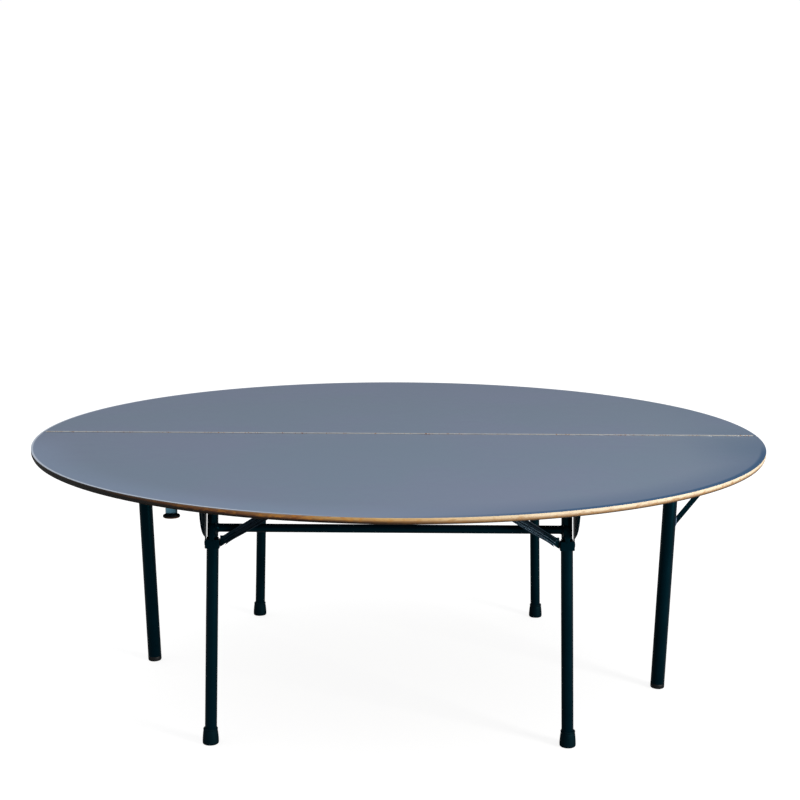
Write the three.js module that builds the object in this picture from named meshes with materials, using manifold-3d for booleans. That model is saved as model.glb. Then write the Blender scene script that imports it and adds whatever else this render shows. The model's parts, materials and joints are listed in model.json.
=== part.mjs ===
// A large round folding table. Its top is two half discs joined by a piano hinge along the seam.
// Each half stands on two bolted frame legs, whose lower parts fold towards the seam, and on one
// side leg near the end of the seam, which folds up under the top beside its sliding brace.
// The rear half is the front half turned half a turn about the vertical axis, except that its
// legs stand up to 30 mm away from that place and its side brace is shorter and pinned higher.
//
// Millimetres, +Z up. The origin is on the floor under the middle of the top. X runs along the
// seam and Y across it, with the front half on the -Y side.

import * as THREE from "three";
import { mergeVertices } from "three/addons/utils/BufferGeometryUtils.js";
import Module from "manifold-3d";

const wasm = await Module();
wasm.setup();

// ---------------------------------------------------------------- driving dimensions

const GAP = 0.3; // air left between pieces that touch
const CURVE_STEPS = 8; // straight steps in a round stretch of an outline
const DEG = Math.PI / 180;

// The top, from its upper face down.
const TABLE_HEIGHT = 740;
const TABLE_RADIUS = 1067;
const LAMINATE_THICKNESS = 0.8;
const CORE_THICKNESS = 14.9;
const BACKER_THICKNESS = 0.6;
const RIM_SEGMENTS = 64; // straight steps round one half of the rim
const CORE_TOP = TABLE_HEIGHT - LAMINATE_THICKNESS - GAP;
const CORE_BOTTOM = CORE_TOP - CORE_THICKNESS;
const UNDERSIDE = CORE_BOTTOM - GAP - BACKER_THICKNESS;
const MOUNT_FACE = UNDERSIDE - GAP; // where the steelwork's plates lie against the underside

// The piano hinge on the seam faces.
const SEAM_FACE = 2.6; // from the seam's middle to the edge of each half
const HINGE_AXIS_HEIGHT = TABLE_HEIGHT + 0.6;
const KNUCKLE_RADIUS = 2.2;
const KNUCKLE_BORE_RADIUS = 1.25;
const HINGE_PIN_RADIUS = 0.95;
const HINGE_LENGTH = 2112;
const KNUCKLE_COUNT = 18;
const LEAF_DEPTH = 12;

// The frame legs: a fixed upper part, a bolted knuckle and a folding lower part.
const FRAME_Y = 580; // from the seam to the frame
const SPLAY = 1.4 * DEG;
const KNUCKLE_HEIGHT = 553;
const LEG_RADIUS = 16;
const STUB_RADIUS = 14.4;
const TUBE_WALL = 1.6;
const STUB_START = 17; // above the knuckle's bolt
const LEG_PLATE = [96, 74, 3]; // the screwed plate on top of each fixed part
const LEG_PLATE_INWARD = 14; // its middle, from the tube's axis towards the table's middle
const PLATE_SCREW_INSET = 12;
const SCREW_HOLE_RADIUS = 2.6;

// Where the legs of each half stand, in the half's own frame: how far the leg frame is shifted
// along the seam, half the distance between its feet, how far the side leg is moved, how far down
// the side leg its brace is pinned, and the brace's length.
const FRONT_LAYOUT = {
  frameShift: -17, footX: 478, sideShift: [4, 1], braceAlong: 211.6, braceLength: 283.4,
};
const REAR_LAYOUT = {
  frameShift: 7.3, footX: 474, sideShift: [-9, 23], braceAlong: 180, braceLength: 250,
};

// The knuckle's bracket and bolt.
const CHEEK_INSIDE = 16.65;
const CHEEK_THICKNESS = 2.6;
const CHEEK_OUTSIDE = CHEEK_INSIDE + CHEEK_THICKNESS;
const CHEEK_RADIUS = 12;
const STOP_PLATE_THICKNESS = 2.6;
const STOP_SPINE = [12, 52]; // width and top of the tongue welded up the fixed tube
const BOLT_RADIUS = 4;
const BOLT_HEAD = [8, 2.5]; // radius and height
const NUT = [7.2, 3.6];

// The rubber feet.
const FOOT_HEIGHT = 44;
const FOOT_FLOOR = 7;
const FOOT_PROFILE = [
  [18.6, 0], [21, 1.4], [21.8, 5], [21.2, 20], [19.4, 38], [19.6, 41], [18.4, FOOT_HEIGHT],
];

// The crossbar between the two fixed tubes.
const CROSSBAR_HEIGHT = 593.5;
const CROSSBAR_RADIUS = 11.2;
const CROSSBAR_FLARE = 7; // how far the weld spreads past the bar
const CROSSBAR_FLARE_LENGTH = 13;

// The channel stays, from the knuckle up and inwards to the underside.
const STAY_SLOPE = 32.4 * DEG;
const STAY_YAW = 12 * DEG; // each stay also runs a little towards the rim, past the crossbar
const STAY_DEPTH = 23.5;
const STAY_WIDTH = 14;
const STAY_WALL = 2.2;
const STAY_TOP = 22; // the upper corner of its lower end, over the bolt
const STAY_TOE = -8; // the lower corner
const STAY_TAB = 9; // the level stretch before it starts to rise
const STAY_FOOT = [88, 46, 3];
const STAY_START_Y = 7.6; // its web's lower end, from the bolt towards the rim

// The gusset plates outside each fixed tube.
const GUSSET_PLANE = 17.2; // inner face, from the leg's axis
const GUSSET_THICKNESS = 2.6;
const GUSSET_REACH = 122; // towards the rim, at the underside
const GUSSET_LIP = 4.5; // how far the upper part of its curved edge is turned outwards
const GUSSET_FLANGE = 20;

// The side legs.
const SIDE_FOOT_X = 770;
const SIDE_Y = 120;
const SIDE_RADIUS = 20.4;
const SIDE_WALL = 1.8;
const SIDE_LEAN = 2.1 * DEG;
const SIDE_PIVOT_HEIGHT = 698;
const SIDE_PIVOT_X = SIDE_FOOT_X + SIDE_PIVOT_HEIGHT * Math.tan(SIDE_LEAN);
const SIDE_SLOT_DEPTH = 44;
const SIDE_SOLID_END = 58;
const LUG_THICKNESS = 12;
const LUG_RADIUS = 17;
const SIDE_PLATE = [110, 84, 3];
const GLIDE_HEIGHT = 14;
const GLIDE_PLUG_RADIUS = SIDE_RADIUS - SIDE_WALL - 3 * GAP;
const GLIDE_PROFILE = [
  [16, -2], [19, -0.4], [20.2, 2.4], [20.5, 6], [20.5, GLIDE_HEIGHT - GAP],
  [GLIDE_PLUG_RADIUS, GLIDE_HEIGHT - GAP], [GLIDE_PLUG_RADIUS, GLIDE_HEIGHT + 22],
];
const SIDE_BOLT_HEAD = [7.5, 5, 2.4]; // radius where it rests, radius of its top, height

// The sliding brace of the side legs.
const BRACE_PIVOT_OUT = 13; // from the leg's axis towards its outer side
const BRACE_SLIDE_HEIGHT = 709;
const BRACE_WIDTH = 15.5;
const BRACE_THICKNESS = 4;
const BRACE_OFFSET = 26.5; // the strap's middle, from the side leg's axis towards the seam
const BRACE_PIN_RADIUS = 3;
const BRACE_PIN_HEAD = [6, 4.4, 2.2]; // radius where it rests, radius of its top, height
const SLIDE_PIN_REACH = 6;
const SLIDE_PIN_RADIUS = 4.5;
const CLIP_THICKNESS = 1.8;
const CLIP_SPAN = [10.6, 34.3]; // its ends along the leg, from the brace's pin
const CLIP_WRAP = [-34 * DEG, 118 * DEG]; // round the leg, from its outer side
const CLIP_TAB = [25 * DEG, 118 * DEG]; // the part that reaches down to the pin
const CLIP_TAB_DROP = 7; // past the pin
const CLIP_BOSS_RADIUS = 6;
const RAIL_WALL = 2;
const RAIL_INSIDE = 14;
const RAIL_DEPTH = 17;
const RAIL_SPAN = [852, 992];
const RAIL_FLANGE = 16;

// The spool posts near the rim.
const SPOOL_X = -563;
const SPOOL_Y = -733;
const SPOOL_RADIUS = 15;
const SPOOL_LENGTH = 57;
const SPOOL_FLANGE = [27, 3]; // radius and thickness, against the underside
const SPOOL_SKIRT_PROFILE = [
  [18.5, -8], [20.9, -7.2], [21.5, -5.4], [21.5, -4], [19.6, -1.8], [16, 0],
];

// ---------------------------------------------------------------- materials

const paint = (color, roughness, metalness) =>
  new THREE.MeshStandardMaterial({ color, roughness, metalness });

const MATERIALS = {
  laminate: paint(0x6f8096, 0.35, 0),
  plywood: paint(0xcba26a, 0.7, 0),
  backer: paint(0x3a2f2a, 0.7, 0),
  hinge: paint(0xb9b7ae, 0.35, 1),
  steel: paint(0x0c1a20, 0.4, 0.3),
  zinc: paint(0xb4b8bb, 0.3, 1),
  chrome: paint(0xd6dade, 0.08, 1),
  rubber: paint(0x15181a, 0.8, 0),
  plastic: paint(0x1b1d1f, 0.55, 0),
};

// ---------------------------------------------------------------- solids

// A closed solid from a three.js geometry.
function solid(geometry) {
  const bare = geometry.clone();
  bare.deleteAttribute("normal");
  bare.deleteAttribute("uv");
  const welded = mergeVertices(bare, 1e-4);
  return new wasm.Manifold(new wasm.Mesh({
    numProp: 3,
    vertProperties: new Float32Array(welded.attributes.position.array),
    triVerts: new Uint32Array(welded.index.array),
  }));
}

// A three.js geometry from a solid.
function geometryOf(body) {
  const mesh = body.getMesh();
  const geometry = new THREE.BufferGeometry();
  geometry.setAttribute("position", new THREE.BufferAttribute(new Float32Array(mesh.vertProperties), 3));
  geometry.setIndex(new THREE.BufferAttribute(new Uint32Array(mesh.triVerts), 1));
  geometry.computeVertexNormals();
  return geometry;
}

const union = (first, ...rest) => rest.reduce((sum, next) => sum.add(next), first);
const cut = (first, ...rest) => rest.reduce((left, next) => left.subtract(next), first);

// A box from its lowest and highest corners.
function box([x0, y0, z0], [x1, y1, z1]) {
  const geometry = new THREE.BoxGeometry(x1 - x0, y1 - y0, z1 - z0);
  return solid(geometry.translate((x0 + x1) / 2, (y0 + y1) / 2, (z0 + z1) / 2));
}

// A round bar from one point to another.
function bar(from, to, radius, sides = 20, endRadius = radius) {
  const start = new THREE.Vector3(...from);
  const end = new THREE.Vector3(...to);
  const along = end.clone().sub(start);
  const geometry = new THREE.CylinderGeometry(endRadius, radius, along.length(), sides);
  const turn = new THREE.Quaternion().setFromUnitVectors(new THREE.Vector3(0, 1, 0), along.normalize());
  geometry.applyQuaternion(turn);
  return solid(geometry.translate(...start.add(end).multiplyScalar(0.5).toArray()));
}

// A turned solid about the Z axis, from [radius, height] points, closed along the axis.
function turned(profile, sides = 18) {
  const points = [
    new THREE.Vector2(0, profile[0][1]),
    ...profile.map(([radius, height]) => new THREE.Vector2(radius, height)),
    new THREE.Vector2(0, profile.at(-1)[1]),
  ];
  return new THREE.LatheGeometry(points, sides).rotateX(Math.PI / 2);
}

// A plate of an outline, lying in the plane of two named axes, from one depth to another.
function plate(outline, plane, from, to) {
  const geometry = new THREE.ExtrudeGeometry(outline, {
    depth: to - from, bevelEnabled: false, curveSegments: CURVE_STEPS,
  });
  geometry.translate(0, 0, from);
  const frames = {
    xy: new THREE.Matrix4(),
    // outline x along X and outline y along Z, so the depth runs along -Y
    xz: new THREE.Matrix4().makeBasis(axis(1, 0, 0), axis(0, 0, 1), axis(0, -1, 0)),
    // outline x along Y and outline y along Z, so the depth runs along X
    yz: new THREE.Matrix4().makeBasis(axis(0, 1, 0), axis(0, 0, 1), axis(1, 0, 0)),
  };
  return solid(geometry.applyMatrix4(frames[plane]));
}

function axis(x, y, z) {
  return new THREE.Vector3(x, y, z);
}

function polygon(points) {
  return new THREE.Shape(points.map(([x, y]) => new THREE.Vector2(x, y)));
}

// A straight strap with round ends, between two points of its plane.
function strapOutline([x0, y0], [x1, y1], width) {
  const angle = Math.atan2(y1 - y0, x1 - x0);
  const shape = new THREE.Shape();
  shape.absarc(x0, y0, width / 2, angle + Math.PI / 2, angle + Math.PI * 1.5, false);
  shape.absarc(x1, y1, width / 2, angle - Math.PI / 2, angle + Math.PI / 2, false);
  return shape;
}

// A screw hole through a plate that lies against the underside.
const screwHole = (x, y) =>
  bar([x, y, MOUNT_FACE - 8], [x, y, MOUNT_FACE + 2], SCREW_HOLE_RADIUS, 8);

// The four screw holes of a rectangular plate.
function plateHoles(x, y, [width, depth]) {
  const dx = width / 2 - PLATE_SCREW_INSET;
  const dy = depth / 2 - PLATE_SCREW_INSET;
  return [[-dx, -dy], [dx, -dy], [-dx, dy], [dx, dy]].map(([u, v]) => screwHole(x + u, y + v));
}

// ---------------------------------------------------------------- the top

// One layer of a half disc, with its straight side on the seam.
function halfDisc(bottom, top) {
  const start = Math.asin(SEAM_FACE / TABLE_RADIUS);
  const points = [];
  for (let step = 0; step <= RIM_SEGMENTS; step++) {
    const angle = Math.PI + start + (step / RIM_SEGMENTS) * (Math.PI - 2 * start);
    points.push([TABLE_RADIUS * Math.cos(angle), TABLE_RADIUS * Math.sin(angle)]);
  }
  return plate(polygon(points), "xy", bottom, top);
}

// A hinge leaf on the seam face, with every second knuckle. There is an even number of knuckles,
// so the other half's leaf, which is this one turned half a turn, fills the gaps.
function hingeLeaf() {
  const half = HINGE_LENGTH / 2;
  const leafTop = HINGE_AXIS_HEIGHT - KNUCKLE_RADIUS - GAP;
  const back = -(SEAM_FACE - GAP);
  let leaf = box([-half, back, leafTop - LEAF_DEPTH], [half, -0.2, leafTop]);
  const pitch = HINGE_LENGTH / KNUCKLE_COUNT;
  for (let knuckle = 0; knuckle < KNUCKLE_COUNT; knuckle += 2) {
    const x0 = -half + knuckle * pitch + GAP;
    const x1 = x0 + pitch - 2 * GAP;
    const barrel = bar([x0, 0, HINGE_AXIS_HEIGHT], [x1, 0, HINGE_AXIS_HEIGHT], KNUCKLE_RADIUS, 10);
    const web = box([x0, back, leafTop - 1], [x1, -0.2, HINGE_AXIS_HEIGHT]);
    leaf = union(leaf, barrel, web);
  }
  const bore = bar(
    [-half - 1, 0, HINGE_AXIS_HEIGHT], [half + 1, 0, HINGE_AXIS_HEIGHT], KNUCKLE_BORE_RADIUS, 8,
  );
  return cut(leaf, bore);
}

function hingePin() {
  const half = HINGE_LENGTH / 2;
  return bar([-half, 0, HINGE_AXIS_HEIGHT], [half, 0, HINGE_AXIS_HEIGHT], HINGE_PIN_RADIUS, 8);
}

// ---------------------------------------------------------------- the frame legs
// These are made in the leg's own frame: the bolt's middle is the origin, Z runs up the tube and
// X runs along the bolt. "out" is +1 where +X points away from the table's middle, and -1 where
// it points towards it.

// The underside's plane and all above it, seen from a leg's tilted frame.
function aboveUnderside(out) {
  const slab = new THREE.BoxGeometry(400, 400, 200);
  slab.translate(0, 0, MOUNT_FACE - KNUCKLE_HEIGHT + 100);
  return solid(slab.rotateY(out * SPLAY));
}

// The fixed upper tube with its screwed plate.
function stub(out) {
  const reach = MOUNT_FACE - KNUCKLE_HEIGHT;
  const tube = bar([0, 0, STUB_START], [0, 0, reach + 6], STUB_RADIUS);
  const [width, depth, thick] = LEG_PLATE;
  const flange = new THREE.BoxGeometry(width, depth, thick);
  const inward = -out * LEG_PLATE_INWARD;
  flange.translate(-out * reach * Math.tan(SPLAY) + inward, 0, reach - thick / 2);
  const holes = plateHoles(-out * reach * Math.tan(SPLAY) + inward, 0, LEG_PLATE)
    .map((hole) => hole.translate([0, 0, -KNUCKLE_HEIGHT]).rotate([0, (out * SPLAY) / DEG, 0]));
  const bore = bar([0, 0, STUB_START - 1], [0, 0, reach - 8], STUB_RADIUS - TUBE_WALL, 16);
  const whole = union(cut(tube, aboveUnderside(out)), solid(flange.rotateY(out * SPLAY)));
  return cut(whole, bore, ...holes);
}

// The U bracket: two cheeks, and behind them the plate that stops the leg when it stands.
function kneeBracket() {
  const back = -(LEG_RADIUS + GAP + STOP_PLATE_THICKNESS);
  const front = -(LEG_RADIUS + GAP);
  const cheek = new THREE.Shape();
  cheek.moveTo(back, -CHEEK_RADIUS);
  cheek.absarc(0, 0, CHEEK_RADIUS, -Math.PI / 2, Math.PI / 2, false);
  cheek.lineTo(back, CHEEK_RADIUS);
  cheek.closePath();
  const [spineWidth, spineTop] = STOP_SPINE;
  const whole = union(
    plate(cheek, "yz", -CHEEK_OUTSIDE, -CHEEK_INSIDE),
    plate(cheek, "yz", CHEEK_INSIDE, CHEEK_OUTSIDE),
    box([-CHEEK_OUTSIDE, back, -CHEEK_RADIUS], [CHEEK_OUTSIDE, front, CHEEK_RADIUS]),
    box([-spineWidth / 2, back, CHEEK_RADIUS - 2], [spineWidth / 2, front, spineTop]),
  );
  const reach = CHEEK_OUTSIDE + 1;
  return cut(whole, bar([-reach, 0, 0], [reach, 0, 0], BOLT_RADIUS + GAP, 12));
}

// The knuckle's bolt: a low round head outside and a hexagonal nut inside.
function kneeBolt(out) {
  const headStart = out * (CHEEK_OUTSIDE + GAP);
  const nutStart = -headStart;
  const [headRadius, headHeight] = BOLT_HEAD;
  const [nutRadius, nutHeight] = NUT;
  return union(
    bar([nutStart - out * (nutHeight + 1.4), 0, 0], [headStart + out, 0, 0], BOLT_RADIUS, 12),
    bar([headStart, 0, 0], [headStart + out * headHeight, 0, 0], headRadius, 16, headRadius * 0.62),
    bar([nutStart, 0, 0], [nutStart - out * nutHeight, 0, 0], nutRadius, 6),
  );
}

// The folding lower tube. Its upper end is rounded about the bolt so that it turns freely.
function lowerLeg(out) {
  const bottom = -(KNUCKLE_HEIGHT - FOOT_FLOOR - GAP) / Math.cos(SPLAY) + 1;
  const body = union(
    bar([0, 0, bottom], [0, 0, 0], LEG_RADIUS),
    bar([-LEG_RADIUS, 0, 0], [LEG_RADIUS, 0, 0], LEG_RADIUS).intersect(
      bar([0, 0, -LEG_RADIUS], [0, 0, LEG_RADIUS + 1], LEG_RADIUS),
    ),
  );
  const reach = LEG_RADIUS + 1;
  return cut(
    body,
    bar([-reach, 0, 0], [reach, 0, 0], BOLT_RADIUS + GAP, 12),
    bar([0, 0, bottom - 1], [0, 0, -LEG_RADIUS - 8], LEG_RADIUS - TUBE_WALL, 16),
  );
}

// The gusset's curved edge, from the underside down to the knuckle, as [across, up] points.
function gussetEdge() {
  const reach = MOUNT_FACE - KNUCKLE_HEIGHT;
  const start = CHEEK_RADIUS + GAP;
  const curve = new THREE.CubicBezierCurve(
    new THREE.Vector2(-GUSSET_REACH, reach + 6),
    new THREE.Vector2(-GUSSET_REACH * 0.98, reach * 0.46),
    new THREE.Vector2(-68, 36),
    new THREE.Vector2(-9, start + 5),
  );
  return curve.getPoints(2 * CURVE_STEPS).map((point) => [point.x, point.y]);
}

// The gusset plate beside the fixed tube. Its outer edge swells from the knuckle out to the rim
// side and is turned outwards as a lip, and its top is turned over as a flange on the underside.
function gusset(out) {
  const reach = MOUNT_FACE - KNUCKLE_HEIGHT;
  const start = CHEEK_RADIUS + GAP;
  const edge = gussetEdge();
  const outline = polygon([[-9, start], [8, start], [8, reach + 6], ...edge]);
  const turnedOver = edge.slice(0, CURVE_STEPS + 2);
  const inset = turnedOver.map(([across, up]) => [across + GUSSET_THICKNESS, up + GUSSET_THICKNESS]);
  const rim = polygon([...turnedOver, ...inset.reverse()]);
  const inner = out * GUSSET_PLANE;
  const outer = out * (GUSSET_PLANE + GUSSET_THICKNESS);
  const lipEnd = outer + out * GUSSET_LIP;
  const web = plate(outline, "yz", Math.min(inner, outer), Math.max(inner, outer));
  const lip = plate(rim, "yz", Math.min(inner, lipEnd), Math.max(inner, lipEnd));
  const far = out * (GUSSET_PLANE + GUSSET_FLANGE);
  const flange = new THREE.BoxGeometry(Math.abs(far - inner), GUSSET_REACH - 30, GUSSET_THICKNESS);
  flange.translate(
    (far + inner) / 2 - out * reach * Math.sin(SPLAY),
    -(GUSSET_REACH + 46) / 2,
    reach - GUSSET_THICKNESS / 2,
  );
  const plateEdge = new THREE.BoxGeometry(...LEG_PLATE.map((length) => length + 2 * GAP));
  plateEdge.translate(-out * (reach * Math.tan(SPLAY) + LEG_PLATE_INWARD), 0, reach - LEG_PLATE[2] / 2);
  return cut(
    union(web, lip, solid(flange.rotateY(out * SPLAY))),
    aboveUnderside(out),
    solid(plateEdge.rotateY(out * SPLAY)),
  );
}

// ---------------------------------------------------------------- pieces made in the half's frame

// Where a fixed tube's axis is at a height.
const stubX = (pivotX, out, height) => pivotX - out * (height - KNUCKLE_HEIGHT) * Math.tan(SPLAY);

// A rubber foot, with a tilted socket for its tube.
function foot(pivotX, out) {
  const outer = turned(FOOT_PROFILE).translate(stubX(pivotX, out, 0), -FRAME_Y, 0);
  const low = FOOT_FLOOR;
  const socket = bar(
    [stubX(pivotX, out, low), -FRAME_Y, low],
    [stubX(pivotX, out, FOOT_HEIGHT + 5), -FRAME_Y, FOOT_HEIGHT + 5],
    LEG_RADIUS + GAP,
  );
  return cut(solid(outer), socket);
}

// The crossbar: a tube whose ends spread into their welds and fit round the fixed tubes.
function crossbar(leftX, rightX) {
  const from = stubX(leftX, -1, CROSSBAR_HEIGHT);
  const to = stubX(rightX, 1, CROSSBAR_HEIGHT);
  const profile = [];
  const steps = 3;
  const edge = STUB_RADIUS;
  const radiusAt = (t) => CROSSBAR_RADIUS + CROSSBAR_FLARE * (1 - t) ** 3;
  for (let step = 0; step <= steps; step++) {
    const t = step / steps;
    profile.push([radiusAt(t), from + edge * 0.5 + t * (CROSSBAR_FLARE_LENGTH + edge * 0.5)]);
  }
  for (let step = steps; step >= 0; step--) {
    const t = step / steps;
    profile.push([radiusAt(t), to - edge * 0.5 - t * (CROSSBAR_FLARE_LENGTH + edge * 0.5)]);
  }
  const body = turned(profile, 16).rotateY(Math.PI / 2).translate(0, -FRAME_Y, CROSSBAR_HEIGHT);
  const reach = 60;
  const tubes = [[leftX, -1], [rightX, 1]].map(([pivotX, out]) => bar(
    [stubX(pivotX, out, CROSSBAR_HEIGHT - reach), -FRAME_Y, CROSSBAR_HEIGHT - reach],
    [stubX(pivotX, out, CROSSBAR_HEIGHT + reach), -FRAME_Y, CROSSBAR_HEIGHT + reach],
    STUB_RADIUS + GAP,
  ));
  const bore = bar(
    [from - 30, -FRAME_Y, CROSSBAR_HEIGHT], [to + 30, -FRAME_Y, CROSSBAR_HEIGHT],
    CROSSBAR_RADIUS - TUBE_WALL, 12,
  );
  return cut(solid(body), ...tubes, bore);
}

// A channel stay, open towards the rim, from the inner cheek of a knuckle up and inwards to a foot
// that is screwed to the underside. It is made with its lower end at the origin, at the height of
// the knuckle's bolt, and with its run along -X where out is +1 and along +X where out is -1.
function stay(out) {
  const rise = Math.tan(STAY_SLOPE);
  const reach = MOUNT_FACE - KNUCKLE_HEIGHT;
  const drop = STAY_DEPTH / Math.cos(STAY_SLOPE);
  const wall = STAY_WALL / Math.cos(STAY_SLOPE);
  const topAt = (run) => STAY_TOP + (run - STAY_TAB) * rise;
  const runAt = (height) => STAY_TAB + (height - STAY_TOP) / rise;
  const outline = (points) => polygon(ordered(-out, points.map(([run, height]) => [-out * run, height])));
  const side = outline([
    [-6, STAY_TOP], [-6, STAY_TOE], [10, STAY_TOE + 4], [30, topAt(30) - drop],
    [runAt(reach + drop), reach], [runAt(reach), reach], [STAY_TAB, STAY_TOP],
  ]);
  const inside = reach - STAY_FOOT[2];
  const hollow = outline([
    [-20, STAY_TOP - wall], [-20, STAY_TOE + wall], [9, STAY_TOE + 4 + wall], [30, topAt(30) - drop + wall],
    [runAt(inside + drop - wall), inside], [runAt(inside + wall), inside], [STAY_TAB, STAY_TOP - wall],
  ]);
  const [footLength, footWidth, footThick] = STAY_FOOT;
  const footEnds = [runAt(reach) - 6, runAt(reach) - 6 + footLength].map((run) => -out * run);
  const footMiddle = -STAY_WIDTH / 2;
  const footPlate = box(
    [Math.min(...footEnds), footMiddle - footWidth / 2, reach - footThick],
    [Math.max(...footEnds), footMiddle + footWidth / 2, reach],
  );
  const holes = [-1, 1].flatMap((sideways) => [12, footLength - 12].map((along) => {
    const x = -out * (runAt(reach) - 6 + along);
    return screwHole(x, footMiddle + sideways * (footWidth / 2 - 8)).translate([0, 0, -KNUCKLE_HEIGHT]);
  }));
  const cheek = new THREE.BoxGeometry(20, 80, 90);
  cheek.translate(out * 10, 0, 0);
  return cut(
    union(plate(side, "xz", 0, STAY_WIDTH), footPlate),
    plate(hollow, "xz", STAY_WALL, STAY_WIDTH + 1),
    solid(cheek.rotateZ(-out * STAY_YAW)),
    ...holes,
  );
}

// The points of a mirrored outline, put back into the same turning order.
function ordered(out, points) {
  return out > 0 ? points : [...points].reverse();
}

// ---------------------------------------------------------------- the side leg
// The side leg and what rides on it are made with the fold's axis as the origin and the tube
// along Z; the leg's group leans it. The brace, rail and bracket are made in the half's frame.

function sideLeg(braceAlong) {
  const length = SIDE_PIVOT_HEIGHT / Math.cos(SIDE_LEAN);
  const bottom = -length + GLIDE_HEIGHT;
  const body = union(
    bar([0, 0, bottom], [0, 0, 0], SIDE_RADIUS),
    bar([0, -SIDE_RADIUS, 0], [0, SIDE_RADIUS, 0], SIDE_RADIUS).intersect(
      bar([0, 0, -SIDE_RADIUS], [0, 0, SIDE_RADIUS + 1], SIDE_RADIUS),
    ),
  );
  const slotHalf = LUG_THICKNESS / 2 + 0.5;
  const reach = SIDE_RADIUS + 1;
  const pinX = BRACE_PIVOT_OUT;
  const pinZ = -braceAlong;
  return cut(
    body,
    box([-reach, -slotHalf, -SIDE_SLOT_DEPTH], [reach, slotHalf, reach]),
    bar([0, -reach, 0], [0, reach, 0], BOLT_RADIUS + GAP, 12),
    bar([0, 0, bottom - 1], [0, 0, -SIDE_SOLID_END], SIDE_RADIUS - SIDE_WALL, 16),
    bar([pinX, 0, pinZ], [pinX, reach, pinZ], BRACE_PIN_RADIUS + GAP, 10),
  );
}

// The plastic glide that closes the side leg's lower end, cut level with the floor.
function sideGlide() {
  const length = SIDE_PIVOT_HEIGHT / Math.cos(SIDE_LEAN);
  const tip = turned(GLIDE_PROFILE).translate(0, 0, -length);
  const floor = new THREE.BoxGeometry(120, 120, 40);
  floor.translate(-SIDE_PIVOT_HEIGHT * Math.tan(SIDE_LEAN), 0, -SIDE_PIVOT_HEIGHT - 20);
  return cut(solid(tip), solid(floor.rotateY(-SIDE_LEAN)));
}

// The bolt of the side leg's fold, with low round ends.
function sideBolt() {
  const start = SIDE_RADIUS + GAP;
  const [base, top, height] = SIDE_BOLT_HEAD;
  return union(
    bar([0, -start - 1, 0], [0, start + 1, 0], BOLT_RADIUS, 12),
    bar([0, start, 0], [0, start + height, 0], base, 16, top),
    bar([0, -start, 0], [0, -start - height, 0], base, 16, top),
  );
}

// The screwed plate with the lug that the slotted leg hangs from.
function sideBracket() {
  const [width, depth, thick] = SIDE_PLATE;
  const base = box(
    [SIDE_PIVOT_X - width / 2, -SIDE_Y - depth / 2, MOUNT_FACE - thick],
    [SIDE_PIVOT_X + width / 2, -SIDE_Y + depth / 2, MOUNT_FACE],
  );
  const shape = new THREE.Shape();
  shape.moveTo(SIDE_PIVOT_X - LUG_RADIUS, MOUNT_FACE - 1);
  shape.absarc(SIDE_PIVOT_X, SIDE_PIVOT_HEIGHT, LUG_RADIUS, Math.PI, 2 * Math.PI, false);
  shape.lineTo(SIDE_PIVOT_X + LUG_RADIUS, MOUNT_FACE - 1);
  shape.closePath();
  const lug = plate(shape, "xz", SIDE_Y - LUG_THICKNESS / 2, SIDE_Y + LUG_THICKNESS / 2);
  const bore = bar(
    [SIDE_PIVOT_X, -SIDE_Y - 20, SIDE_PIVOT_HEIGHT], [SIDE_PIVOT_X, -SIDE_Y + 20, SIDE_PIVOT_HEIGHT],
    BOLT_RADIUS + GAP, 12,
  );
  return cut(union(base, lug), bore, ...plateHoles(SIDE_PIVOT_X, -SIDE_Y, SIDE_PLATE));
}

// The clip that wraps the outer and seam sides of the leg where the brace is pinned.
function braceClip(braceAlong) {
  const inner = SIDE_RADIUS + GAP;
  const outer = inner + CLIP_THICKNESS;
  const x = BRACE_PIVOT_OUT;
  const z = -braceAlong;
  const bend = ([from, to], low, high) => {
    const shape = new THREE.Shape();
    shape.absarc(0, 0, outer, from, to, false);
    shape.absarc(0, 0, inner, to, from, true);
    shape.closePath();
    return plate(shape, "xy", z + low, z + high);
  };
  const band = bend(CLIP_WRAP, ...CLIP_SPAN);
  const tab = bend(CLIP_TAB, -CLIP_TAB_DROP, CLIP_SPAN[0] + 1);
  const bossEnd = BRACE_OFFSET - BRACE_THICKNESS / 2 - GAP;
  const boss = bar([x, 6, z], [x, bossEnd, z], CLIP_BOSS_RADIUS, 16);
  const tube = bar([0, 0, z - 20], [0, 0, z + 20], inner, 36);
  const bore = bar([x, 4, z], [x, bossEnd + 2, z], BRACE_PIN_RADIUS + GAP, 10);
  return cut(union(band, tab, cut(boss, tube)), bore);
}

// The brace's pin, from inside the leg out through the clip and the strap to its head.
function bracePin(braceAlong) {
  const x = BRACE_PIVOT_OUT;
  const z = -braceAlong;
  const headStart = BRACE_OFFSET + BRACE_THICKNESS / 2 + GAP;
  const [base, top, height] = BRACE_PIN_HEAD;
  return union(
    bar([x, 6, z], [x, headStart + 0.5, z], BRACE_PIN_RADIUS, 10),
    bar([x, headStart, z], [x, headStart + height, z], base, 16, top),
  );
}

// Both ends of a brace in the half's frame, as [x, z].
function braceEnds(braceAlong, length) {
  const lean = [Math.sin(SIDE_LEAN), Math.cos(SIDE_LEAN)];
  const lowX = SIDE_PIVOT_X + BRACE_PIVOT_OUT * lean[1] - braceAlong * lean[0];
  const lowZ = SIDE_PIVOT_HEIGHT - BRACE_PIVOT_OUT * lean[0] - braceAlong * lean[1];
  const rise = BRACE_SLIDE_HEIGHT - lowZ;
  return [[lowX, lowZ], [lowX + Math.sqrt(length ** 2 - rise ** 2), BRACE_SLIDE_HEIGHT]];
}

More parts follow.
